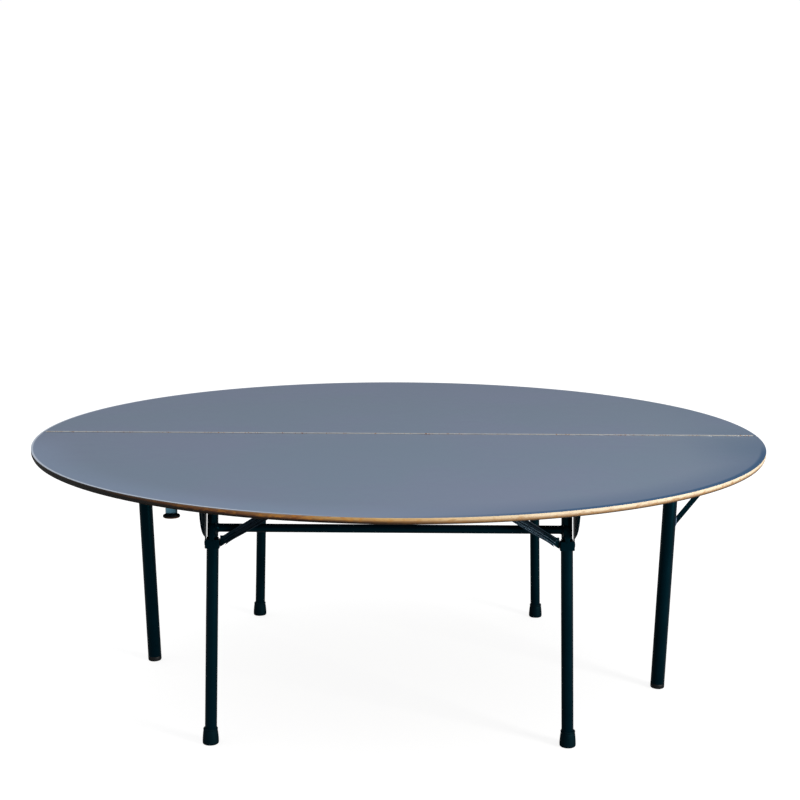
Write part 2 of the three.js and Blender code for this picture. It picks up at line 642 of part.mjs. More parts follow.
// The strap of the brace, with the cross pin of its sliding end.
function sideBrace(braceAlong, length) {
  const [low, high] = braceEnds(braceAlong, length);
  const middle = SIDE_Y - BRACE_OFFSET;
  const y0 = middle - BRACE_THICKNESS / 2;
  const y1 = middle + BRACE_THICKNESS / 2;
  const strap = plate(strapOutline(low, high, BRACE_WIDTH), "xz", y0, y1);
  const bore = bar([low[0], -y1 - 1, low[1]], [low[0], -y0 + 1, low[1]], BRACE_PIN_RADIUS + GAP, 12);
  const pin = bar(
    [high[0], -middle - SLIDE_PIN_REACH, high[1]], [high[0], -middle + SLIDE_PIN_REACH, high[1]],
    SLIDE_PIN_RADIUS, 12,
  );
  return union(cut(strap, bore), pin);
}

// The rail on the underside, open below, in which the brace's upper end slides.
function braceRail() {
  const middle = -(SIDE_Y - BRACE_OFFSET);
  const [x0, x1] = RAIL_SPAN;
  const half = RAIL_INSIDE / 2;
  const low = MOUNT_FACE - RAIL_DEPTH;
  const walls = [
    box([x0, middle - half - RAIL_WALL, low], [x1, middle - half, MOUNT_FACE]),
    box([x0, middle + half, low], [x1, middle + half + RAIL_WALL, MOUNT_FACE]),
  ];
  const sheet = box(
    [x0, middle - half - RAIL_FLANGE, MOUNT_FACE - 1], [x1, middle + half + RAIL_FLANGE, MOUNT_FACE],
  );
  const endStop = box([x1 - RAIL_WALL, middle - half, low], [x1, middle + half, MOUNT_FACE]);
  const holes = [x0 + 14, x1 - 14].flatMap((x) =>
    [-1, 1].map((side) => screwHole(x, middle + side * (half + RAIL_FLANGE - 6))));
  return cut(union(sheet, ...walls, endStop), ...holes);
}

// ---------------------------------------------------------------- the spool post

function spoolPost() {
  const high = MOUNT_FACE;
  const [flange, thick] = SPOOL_FLANGE;
  return solid(turned([
    [SPOOL_RADIUS, high - SPOOL_LENGTH], [SPOOL_RADIUS, high - thick],
    [flange, high - thick], [flange, high],
  ], 20).translate(SPOOL_X, SPOOL_Y, 0));
}

// The dark skirt under the post, which spreads like a plate.
function spoolSkirt() {
  const top = MOUNT_FACE - SPOOL_LENGTH - GAP;
  return solid(turned(SPOOL_SKIRT_PROFILE, 20).translate(SPOOL_X, SPOOL_Y, top));
}

// ---------------------------------------------------------------- assembly

function mesh(name, body, material) {
  const piece = new THREE.Mesh(geometryOf(body), MATERIALS[material]);
  piece.name = name;
  return piece;
}

function channelStay(name, pivotX, out) {
  const piece = mesh(`${name}_channel_stay`, stay(out), "steel");
  piece.position.set(
    pivotX - out * (CHEEK_OUTSIDE + 2 * GAP), -FRAME_Y - STAY_START_Y, KNUCKLE_HEIGHT,
  );
  piece.rotation.z = out * STAY_YAW;
  return piece;
}

// One half of the table. Seen in the half's own frame it is always the front half; "sides" gives
// the names of its left and right ends once the half has been turned into place.
function half(prefix, sides, { frameShift, footX, sideShift, braceAlong, braceLength }) {
  const group = new THREE.Group();
  group.add(
    mesh(`${prefix}_top_laminate`, halfDisc(TABLE_HEIGHT - LAMINATE_THICKNESS, TABLE_HEIGHT), "laminate"),
    mesh(`${prefix}_top_core`, halfDisc(CORE_BOTTOM, CORE_TOP), "plywood"),
    mesh(`${prefix}_top_backer`, halfDisc(UNDERSIDE, UNDERSIDE + BACKER_THICKNESS), "backer"),
    mesh(`${prefix}_hinge_leaf`, hingeLeaf(), "hinge"),
  );
  const pivotX = footX - KNUCKLE_HEIGHT * Math.tan(SPLAY);
  const pivots = [frameShift - pivotX, frameShift + pivotX];
  [-1, 1].forEach((out, index) => {
    const name = `${prefix}_${sides[index]}`;
    const leg = new THREE.Group();
    leg.position.set(pivots[index], -FRAME_Y, KNUCKLE_HEIGHT);
    leg.rotation.y = -out * SPLAY;
    leg.add(
      mesh(`${name}_leg_stub`, stub(out), "steel"),
      mesh(`${name}_knee_bracket`, kneeBracket(), "steel"),
      mesh(`${name}_knee_bolt`, kneeBolt(out), "zinc"),
      mesh(`${name}_lower_leg`, lowerLeg(out), "steel"),
      mesh(`${name}_gusset`, gusset(out), "steel"),
    );
    group.add(
      leg,
      mesh(`${name}_foot`, foot(pivots[index], out), "rubber"),
      channelStay(name, pivots[index], out),
    );
  });
  group.add(mesh(`${prefix}_crossbar`, crossbar(...pivots), "steel"));

  const side = new THREE.Group();
  side.position.set(SIDE_PIVOT_X, -SIDE_Y, SIDE_PIVOT_HEIGHT);
  side.rotation.y = SIDE_LEAN;
  side.add(
    mesh(`${prefix}_side_leg`, sideLeg(braceAlong), "steel"),
    mesh(`${prefix}_side_glide`, sideGlide(), "plastic"),
    mesh(`${prefix}_side_bolt`, sideBolt(), "zinc"),
    mesh(`${prefix}_brace_clip`, braceClip(braceAlong), "zinc"),
    mesh(`${prefix}_brace_pin`, bracePin(braceAlong), "zinc"),
  );
  const sideParts = new THREE.Group();
  sideParts.position.set(...sideShift, 0);
  sideParts.add(
    side,
    mesh(`${prefix}_side_bracket`, sideBracket(), "steel"),
    mesh(`${prefix}_side_brace`, sideBrace(braceAlong, braceLength), "steel"),
    mesh(`${prefix}_brace_rail`, braceRail(), "steel"),
  );
  group.add(
    sideParts,
    mesh(`${prefix}_spool_post`, spoolPost(), "chrome"),
    mesh(`${prefix}_spool_skirt`, spoolSkirt(), "plastic"),
  );
  return group;
}

const table = new THREE.Group();
const front = half("front", ["left", "right"], FRONT_LAYOUT);
const rear = half("rear", ["right", "left"], REAR_LAYOUT);
rear.rotation.z = Math.PI;
table.add(front, rear, mesh("hinge_pin", hingePin(), "hinge"));

export default table;
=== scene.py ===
"""The looks of a large round folding table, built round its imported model.

The top is two half discs of laminated plywood on a piano hinge. Each half stands on two frame
legs with bolted knees and on one side leg with a sliding brace. Every length is in metres. A leg
piece is worked out in its leg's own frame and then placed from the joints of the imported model.
"""

from __future__ import annotations

import json
import logging
import math
from dataclasses import dataclass, field
from enum import Enum

import bpy
import numpy as np
from mathutils import Matrix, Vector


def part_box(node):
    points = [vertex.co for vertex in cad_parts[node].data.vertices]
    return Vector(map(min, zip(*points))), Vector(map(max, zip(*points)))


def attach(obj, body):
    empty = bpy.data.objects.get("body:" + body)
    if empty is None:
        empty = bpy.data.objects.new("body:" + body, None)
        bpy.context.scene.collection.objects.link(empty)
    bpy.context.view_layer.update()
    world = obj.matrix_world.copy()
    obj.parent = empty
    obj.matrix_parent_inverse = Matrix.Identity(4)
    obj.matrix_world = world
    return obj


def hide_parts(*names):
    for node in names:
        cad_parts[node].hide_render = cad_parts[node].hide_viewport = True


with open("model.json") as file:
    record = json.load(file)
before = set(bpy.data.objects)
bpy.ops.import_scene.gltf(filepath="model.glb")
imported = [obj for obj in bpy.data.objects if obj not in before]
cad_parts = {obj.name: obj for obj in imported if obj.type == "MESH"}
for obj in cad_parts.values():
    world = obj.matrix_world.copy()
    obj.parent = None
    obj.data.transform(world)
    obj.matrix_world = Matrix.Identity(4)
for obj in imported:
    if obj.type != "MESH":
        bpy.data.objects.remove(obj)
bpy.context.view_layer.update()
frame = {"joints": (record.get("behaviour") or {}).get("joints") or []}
JOINTS = {joint["name"]: joint for joint in frame["joints"]}
LOG = logging.getLogger("table")

MM = 0.001
TAU = 2 * math.pi
GAP = 0.3 * MM


# ------------------------------------------------------------------------------------ options


class Half(Enum):
    """The two halves of the top. The value is the half's turn: +1 as drawn, -1 half a turn."""

    FRONT = 1
    REAR = -1

    @property
    def label(self) -> str:
        """The half's name in node and piece names."""
        return self.name.lower()

    @property
    def body(self) -> str:
        """The body that the half's fixed pieces ride on."""
        return f"{self.label}_half"


class Side(Enum):
    """The two ends of a leg frame. The value is the sign of X towards that end."""

    LEFT = -1
    RIGHT = 1

    @property
    def label(self) -> str:
        """The side's name in node and piece names."""
        return self.name.lower()


# ------------------------------------------------------------------------------------ shapes


@dataclass(frozen=True)
class Placement:
    """A frame of three axes at a point.

    Args:
        origin: the frame's origin.
        axes: a 3 by 3 array whose rows are the frame's axes.
    """

    origin: np.ndarray
    axes: np.ndarray

    def apply(self, points: np.ndarray) -> np.ndarray:
        """The points of the frame, in the table's frame."""
        return self.origin + points @ self.axes

    @classmethod
    def at(cls, origin: tuple[float, float, float], axes: object = None) -> "Placement":
        """A placement at a point.

        Args:
            origin: the point.
            axes: three axes, or None for the table's own.

        Returns:
            The placement.
        """
        return cls(np.array(origin, float), np.eye(3) if axes is None else np.array(axes, float))


@dataclass
class Shell:
    """A closed surface: its points, its four-sided faces and its many-sided caps."""

    points: np.ndarray
    quads: np.ndarray
    caps: list[np.ndarray] = field(default_factory=list)

    def placed(self, placement: Placement) -> "Shell":
        """The shell moved into a frame."""
        return Shell(placement.apply(self.points), self.quads, self.caps).turned_out()

    def volume(self) -> float:
        """Six times the signed volume, from the triangles of every face.

        Returns:
            The volume, above zero if the faces point outwards.
        """
        fans = [np.stack([np.full(len(cap) - 2, cap[0]), cap[1:-1], cap[2:]], 1) for cap in self.caps]
        halves = [self.quads[:, [0, 1, 2]], self.quads[:, [0, 2, 3]]]
        corners = self.points[np.concatenate(halves + fans)]
        return float(np.einsum("ij,ij->i", corners[:, 0], np.cross(corners[:, 1], corners[:, 2])).sum())

    def turned_out(self) -> "Shell":
        """The shell with its faces pointing outwards.

        Returns:
            The shell itself, or a copy turned inside out.
        """
        if self.volume() >= 0:
            return self
        return Shell(self.points, self.quads[:, ::-1], [cap[::-1] for cap in self.caps])

    @staticmethod
    def joined(shells: list["Shell"]) -> "Shell":
        """Several shells as one piece.

        Args:
            shells: the shells to join.

        Returns:
            One shell that holds them all.
        """
        starts = np.cumsum([0] + [len(shell.points) for shell in shells[:-1]])
        return Shell(
            np.concatenate([shell.points for shell in shells]),
            np.concatenate([shell.quads + start for shell, start in zip(shells, starts)]),
            [cap + start for shell, start in zip(shells, starts) for cap in shell.caps],
        )


def grid_quads(rows: int, columns: int, wrap_rows: bool = False, wrap_columns: bool = True) -> np.ndarray:
    """The faces of a grid of points, row after row.

    Args:
        rows: how many rows.
        columns: how many points in a row.
        wrap_rows: whether the last row meets the first.
        wrap_columns: whether each row closes on itself.

    Returns:
        An array of four indices a face.
    """
    row = np.arange(rows if wrap_rows else rows - 1)[:, None]
    column = np.arange(columns if wrap_columns else columns - 1)[None, :]
    after_row = (row + 1) % rows
    after_column = (column + 1) % columns
    corners = [
        row * columns + column, row * columns + after_column,
        after_row * columns + after_column, after_row * columns + column,
    ]
    return np.stack([np.broadcast_to(c, (row.size, column.size)).ravel() for c in corners], 1)


def tube_between(rings: np.ndarray, ring: bool = False) -> Shell:
    """A closed shell through a stack of closed rings of points.

    Args:
        rings: an array of rings, each of the same number of points.
        ring: whether the last ring meets the first, as on a torus, so that there are no ends.

    Returns:
        The shell, with a flat cap on the first and last ring where it has ends.
    """
    rows, columns, _ = rings.shape
    quads = grid_quads(rows, columns, wrap_rows=ring)
    first = np.arange(columns)
    caps = [] if ring else [first[::-1], first + (rows - 1) * columns]
    return Shell(rings.reshape(-1, 3), quads, caps).turned_out()


def revolved(profile: object, segments: int = 48, ring: bool = False) -> Shell:
    """A turned shape about Z: each profile point (radius, height) goes round a circle.

    Args:
        profile: the (radius, height) points, in order.
        segments: how many steps round the axis.
        ring: whether the profile closes on itself.

    Returns:
        The shell.
    """
    radius, height = np.array(profile, float).T
    angle = np.linspace(0, TAU, segments, endpoint=False)
    x = radius[:, None] * np.cos(angle)
    y = radius[:, None] * np.sin(angle)
    z = np.broadcast_to(height[:, None], x.shape)
    return tube_between(np.stack([x, y, z], 2), ring)


def rounded_bar(
    radius: float, low: float, high: float, edge: float = 0.8 * MM, segments: int = 48,
) -> Shell:
    """A round bar along Z whose end edges are quarter circles.

    Args:
        radius: the bar's radius.
        low: its lower end.
        high: its upper end.
        edge: the radius of its edges.
        segments: how many steps round it.

    Returns:
        The shell.
    """
    turn = np.linspace(0, math.pi / 2, 5)
    rim = radius - edge + edge * np.sin(turn)
    lower = np.stack([rim, low + edge - edge * np.cos(turn)], 1)
    upper = np.stack([rim, high - edge + edge * np.cos(turn)], 1)[::-1]
    return revolved(np.concatenate([lower, upper]), segments)


def slab(outline: np.ndarray, low: float, high: float) -> Shell:
    """A flat plate: an outline in X and Y, carried straight up Z.

    Args:
        outline: the points of the outline, in order.
        low: the height of its lower face.
        high: the height of its upper face.

    Returns:
        The closed plate.
    """
    flat = np.array(outline, float)
    rings = [np.column_stack([flat, np.full(len(flat), z)]) for z in (low, high)]
    return tube_between(np.array(rings))


def arc(
    centre: tuple[float, float], radius: float, start: float, end: float, steps: int = 12,
) -> np.ndarray:
    """Points along a circular arc, its angles in degrees."""
    angle = np.radians(np.linspace(start, end, steps))
    return np.array(centre) + radius * np.stack([np.cos(angle), np.sin(angle)], 1)


def rounded_rectangle(width: float, depth: float, corner: float, steps: int = 6) -> np.ndarray:
    """The outline of a rectangle about the origin, with round corners.

    Args:
        width: its size along X.
        depth: its size along Y.
        corner: the radius of its corners.
        steps: the points on each corner.

    Returns:
        The points of the outline, in order.
    """
    x = width / 2 - corner
    y = depth / 2 - corner
    corners = [((x, y), 0), ((-x, y), 90), ((-x, -y), 180), ((x, -y), 270)]
    return np.concatenate([arc(centre, corner, turn, turn + 90, steps) for centre, turn in corners])


def thickened(line: np.ndarray, thickness: float) -> np.ndarray:
    """The closed outline of a bent sheet: its middle line moved half the thickness each way.

    Args:
        line: the points of the middle line, in order.
        thickness: the sheet's thickness.

    Returns:
        The outline's points.
    """
    along = np.gradient(line, axis=0)
    along /= np.linalg.norm(along, axis=1)[:, None]
    normal = np.stack([-along[:, 1], along[:, 0]], 1) * thickness / 2
    return np.concatenate([line + normal, (line - normal)[::-1]])


def swept(
    section: np.ndarray, path: np.ndarray, across: np.ndarray, up: np.ndarray, scale: object = 1.0,
) -> Shell:
    """A section carried along a path: point = path + scale * (a * across + b * up).

    Args:
        section: the closed outline, as (a, b) points.
        path: the points that it is carried through.
        across: the direction of a, one for all or one a point.
        up: the direction of b, one for all or one a point.
        scale: the section's size along the path, one for all or one a point.

    Returns:
        The shell.
    """
    count = len(path)
    across = np.broadcast_to(across, (count, 3))
    up = np.broadcast_to(up, (count, 3))
    scale = np.broadcast_to(scale, (count,))[:, None, None]
    spread = section[None, :, :1] * across[:, None, :] + section[None, :, 1:] * up[:, None, :]
    return tube_between(path[:, None, :] + scale * spread)


# ------------------------------------------------------------------------------------ materials


class Graph:
    """A short way to write the nodes of a material or of a group."""

    def __init__(self, tree: bpy.types.NodeTree) -> None:
        """Holds the tree that the nodes go into."""
        self.tree = tree

    def add(
        self, kind: str, inputs: dict[object, object] | None = None, **settings: object,
    ) -> bpy.types.Node:
        """A node of a kind.

        Args:
            kind: the node's type name without its ShaderNode prefix.
            inputs: values or sockets for its inputs, by name or number.
            settings: its own properties.

        Returns:
            The node.
        """
        node = self.tree.nodes.new(f"ShaderNode{kind}")
        for key, value in settings.items():
            setattr(node, key, value)
        for key, value in (inputs or {}).items():
            self.feed(node.inputs[key], value)
        return node

    def feed(self, socket: bpy.types.NodeSocket, value: object) -> None:
        """Links a socket to a socket, or sets it to a value.

        Args:
            socket: the input socket.
            value: an output socket, a number or a colour.
        """
        if isinstance(value, bpy.types.NodeSocket):
            self.tree.links.new(value, socket)
        else:
            socket.default_value = value

    def math(
        self, operation: str, first: object, second: object = 0.0, clamp: bool = False,
    ) -> bpy.types.NodeSocket:
        """The result of a math node."""
        node = self.add("Math", {0: first, 1: second}, operation=operation, use_clamp=clamp)
        return node.outputs[0]

    def mix(
        self, factor: object, first: object, second: object, blend: str = "MIX",
    ) -> bpy.types.NodeSocket:
        """The colour between two colours.

        Args:
            factor: how far towards the second, 0 to 1.
            first: the first colour.
            second: the second colour.
            blend: how the two are combined.

        Returns:
            The socket with the colour.
        """
        node = self.add("Mix", data_type="RGBA", blend_type=blend)
        for index, value in ((0, factor), (6, first), (7, second)):
            self.feed(node.inputs[index], value)
        return node.outputs[2]

    def span(
        self, value: object, low: float, high: float, to_low: float = 0.0, to_high: float = 1.0,
    ) -> bpy.types.NodeSocket:
        """A value carried smoothly from one range to another, and clamped to it.

        Args:
            value: the value to carry over.
            low: where the first range starts.
            high: where it ends; it may be below low.
            to_low: the result at low.
            to_high: the result at high.

        Returns:
            The socket with the result.
        """
        node = self.add(
            "MapRange", {0: value, 1: low, 2: high, 3: to_low, 4: to_high}, interpolation_type="SMOOTHSTEP",
        )
        return node.outputs[0]

    def noise(
        self, vector: object, scale: object, detail: float = 3.0, rough: float = 0.5,
    ) -> bpy.types.NodeSocket:
        """The value of a noise texture.

        Args:
            vector: where to read it.
            scale: how fine it is.
            detail: how many finer octaves it adds.
            rough: how strong they are.

        Returns:
            The socket with the value.
        """
        node = self.add(
            "TexNoise", {"Vector": vector, "Scale": scale, "Detail": detail, "Roughness": rough},
        )
        return node.outputs[0]

    def stretched(self, vector: object, scale: tuple[float, float, float]) -> bpy.types.NodeSocket:
        """The coordinates, scaled by an amount along each axis."""
        return self.add("Mapping", {"Vector": vector, "Scale": scale}).outputs[0]

    def ramp(
        self, value: object, stops: list[tuple[float, tuple[float, float, float]]],
    ) -> bpy.types.NodeSocket:
        """The colour of a ramp.

        Args:
            value: the place along the ramp.
            stops: its (place, colour) stops.

        Returns:
            The colour socket.
        """
        node = self.add("ValToRGB", {0: value})
        elements = node.color_ramp.elements
        while len(elements) < len(stops):
            elements.new(1.0)
        for element, (place, colour) in zip(elements, stops):
            element.position = place
            element.color = (*colour, 1.0)
        return node.outputs[0]


def new_group(
    name: str, inputs: dict[str, tuple[str, object]], outputs: dict[str, str],
) -> tuple[Graph, dict, dict]:
    """A shader node group with named sockets.

    Args:
        name: the group's name.
        inputs: socket kind and default value, by name.
        outputs: socket kind, by name.

    Returns:
        Its graph, its input sockets and its output sockets, by name.
    """
    tree = bpy.data.node_groups.new(name, "ShaderNodeTree")
    for label, (kind, value) in inputs.items():
        socket = tree.interface.new_socket(label, in_out="INPUT", socket_type=f"NodeSocket{kind}")
        if value is not None:
            socket.default_value = value
    for label, kind in outputs.items():
        tree.interface.new_socket(label, in_out="OUTPUT", socket_type=f"NodeSocket{kind}")
    start = tree.nodes.new("NodeGroupInput")
    end = tree.nodes.new("NodeGroupOutput")
    return Graph(tree), start.outputs, end.inputs


def blotch_group() -> bpy.types.NodeTree:
    """Soft uneven patches: two scales of noise, averaged and spread to the full range.

    Returns:
        The node group.
    """
    graph, given, out = new_group(
        "soft_blotches", {"Vector": ("Vector", None), "Scale": ("Float", 3.0)}, {"Value": "Float"},
    )
    wide = graph.noise(given["Vector"], given["Scale"], 2.0)
    fine = graph.noise(given["Vector"], graph.math("MULTIPLY", given["Scale"], 5.3), 4.0, 0.6)
    both = graph.math("ADD", graph.math("MULTIPLY", wide, 0.7), graph.math("MULTIPLY", fine, 0.3))
    graph.feed(out["Value"], graph.span(both, 0.36, 0.64))
    return graph.tree


def speck_group() -> bpy.types.NodeTree:
    """Small scattered specks: the peaks of a fine noise, thinned out by a wide one.

    Returns:
        The node group.
    """
    graph, given, out = new_group(
        "small_specks",
        {"Vector": ("Vector", None), "Scale": ("Float", 400.0), "Amount": ("Float", 0.3)},
        {"Mask": "Float"},
    )
    fine = graph.noise(given["Vector"], given["Scale"], 2.0, 0.6)
    wide = graph.noise(given["Vector"], graph.math("MULTIPLY", given["Scale"], 0.07), 2.0)
    level = graph.math("ADD", graph.math("MULTIPLY", fine, 0.75), graph.math("MULTIPLY", wide, 0.25))
    start = graph.math("SUBTRACT", 0.76, graph.math("MULTIPLY", given["Amount"], 0.3))
    above = graph.math("MULTIPLY", graph.math("SUBTRACT", level, start), 18.0, clamp=True)
    graph.feed(out["Mask"], above)
    return graph.tree


def brushed_group() -> bpy.types.NodeTree:
    """Fine parallel lines: noise on coordinates that the material has stretched.

    Returns:
        The node group.
    """
    graph, given, out = new_group(
        "fine_lines", {"Vector": ("Vector", None), "Scale": ("Float", 60.0)}, {"Height": "Float"},
    )
    lines = graph.noise(given["Vector"], given["Scale"], 5.0, 0.65)
    graph.feed(out["Height"], graph.span(lines, 0.3, 0.7))
    return graph.tree


class Effects:
    """The shared node groups, built once."""

    def __init__(self) -> None:
        """Builds every group."""
        self.trees = {"blotches": blotch_group(), "specks": speck_group(), "lines": brushed_group()}

    def use(self, graph: Graph, name: str, **inputs: object) -> bpy.types.NodeSocket:
        """The first output of a shared effect, placed in a material.

        Args:
            graph: the material's graph.
            name: which effect.
            inputs: its values, by socket name.

        Returns:
            Its output socket.
        """
        node = graph.tree.nodes.new("ShaderNodeGroup")
        node.node_tree = self.trees[name]
        for label, value in inputs.items():
            graph.feed(node.inputs[label], value)
        return node.outputs[0]


@dataclass(frozen=True)
class Finish:
    """What every finish shares: a name, a record slot and the shader's own values."""

    name: str = "finish"
    slot: str = "dark_steel"
    metallic: float = 0.0
    roughness: float = 0.5
    specular: float = 0.5
    tint: tuple = (1.0, 1.0, 1.0)
    bump: float = 0.0

    def build(self, effects: Effects) -> bpy.types.Material:
        """The material of this finish.

        Args:
            effects: the shared node groups.

        Returns:
            The material.
        """
        material = bpy.data.materials.new(self.name)
        material.use_nodes = True
        graph = Graph(material.node_tree)
        shader = material.node_tree.nodes["Principled BSDF"]
        shader.inputs["Metallic"].default_value = self.metallic
        shader.inputs["Specular IOR Level"].default_value = self.specular
        shader.inputs["Specular Tint"].default_value = (*self.tint, 1.0)
        place = graph.add("TexCoord").outputs["Object"]
        colour, roughness, height = self.look(graph, place, effects)
        graph.feed(shader.inputs["Base Color"], colour)
        graph.feed(shader.inputs["Roughness"], roughness)
        if self.bump > 0:
            node = graph.add("Bump", {"Strength": 1.0, "Distance": self.bump, "Height": height})
            graph.feed(shader.inputs["Normal"], node.outputs[0])
        return material

    def look(self, graph: Graph, place: bpy.types.NodeSocket, effects: Effects) -> tuple:
        """The sockets for colour, roughness and height.

        Args:
            graph: the material's graph.
            place: object coordinates.
            effects: the shared node groups.

        Returns:
            Colour, roughness and height.
        """
        raise NotImplementedError


@dataclass(frozen=True)
class Laminate(Finish):
    """Blue-grey decorative laminate: a soft cloudy print, fine specks and a lightly waved gloss.

    On the front half the rim has a painted pale reflection, with a painted highlight along its
    edge, towards one end of the seam, and a painted navy reflection towards the other, where the
    top also has painted shade. These stay in their place on the top. Lengths are in metres.
    """

    name: str = "blue_grey_laminate"
    slot: str = "laminate"
    roughness: float = 0.34
    specular: float = 0.1
    bump: float = 0.00006
    cool: tuple = (0.166, 0.221, 0.300)
    warm: tuple = (0.176, 0.214, 0.302)
    # pale: the colour of the print's specks, and also of the painted pale reflection near the rim.
    pale: tuple = (0.225, 0.300, 0.430)
    # navy: the colour of the painted dark reflection and painted shade near the rim.
    navy: tuple = (0.008, 0.068, 0.165)
    # The colour of the painted highlight along the rim's edge.
    worn_edge: tuple = (0.6, 0.66, 0.74)
    radius: float = 1.067

    def look(self, graph: Graph, place: bpy.types.NodeSocket, effects: Effects) -> tuple:
        """See Finish.look."""
        clouds = effects.use(graph, "blotches", Vector=place, Scale=1.6)
        base = graph.mix(clouds, (*self.cool, 1), (*self.warm, 1))
        specks = effects.use(graph, "specks", Vector=place, Scale=900.0, Amount=0.35)
        base = graph.mix(graph.math("MULTIPLY", specks, 0.18), base, (*self.pale, 1))
        x, y, _ = graph.add("SeparateXYZ", {0: place}).outputs
        flat = graph.add("CombineXYZ", {0: x, 1: y}).outputs[0]
        out = graph.add("VectorMath", {0: flat}, operation="LENGTH").outputs["Value"]
        # Painted reflections near the front half's rim: a pale blue fade towards -X, a navy fade and a
        # narrower navy band towards +X, and painted shade over the +X end.
        near_rim = graph.span(out, self.radius - 0.15, self.radius)
        band = graph.span(out, self.radius - 0.024, self.radius - 0.010)
        edge = graph.span(out, self.radius - 0.007, self.radius - 0.004)
        front = graph.span(y, -0.02, -0.3)
        left = graph.math("MULTIPLY", graph.span(x, 0.5, -0.5), front)
        right = graph.math("MULTIPLY", graph.span(x, -0.1, 0.5), front)
        painted_pale_reflection = graph.math("MULTIPLY", near_rim, graph.math("MULTIPLY", left, 0.4))
        soft = graph.math("MULTIPLY", graph.math("MULTIPLY", near_rim, 0.36), right)
        strong = graph.math("MULTIPLY", graph.math("MULTIPLY", band, 0.88), right)
        corner = graph.math("MULTIPLY", graph.span(x, 0.76, 1.08), graph.span(y, 0.2, -0.25, 0.12, 0.45))
        darker = graph.math("MAXIMUM", graph.math("MAXIMUM", soft, strong), corner)
        colour = graph.mix(darker, graph.mix(painted_pale_reflection, base, (*self.pale, 1)), (*self.navy, 1))
        # Painted highlight: a thin pale line along the rim's edge towards -X.
        painted_highlight_strip = graph.math("MULTIPLY", edge, graph.math("MULTIPLY", graph.span(x, -0.05, -0.45), 0.7))
        colour = graph.mix(painted_highlight_strip, colour, (*self.worn_edge, 1))
        wave = graph.noise(place, 9.0, 2.0)
        fine = graph.noise(place, 700.0, 2.0)
        rough = graph.span(clouds, 0.0, 1.0, self.roughness - 0.03, self.roughness + 0.05)
        height = graph.math("ADD", graph.math("MULTIPLY", wave, 4.0), graph.math("MULTIPLY", fine, 0.12))
        return colour, rough, height


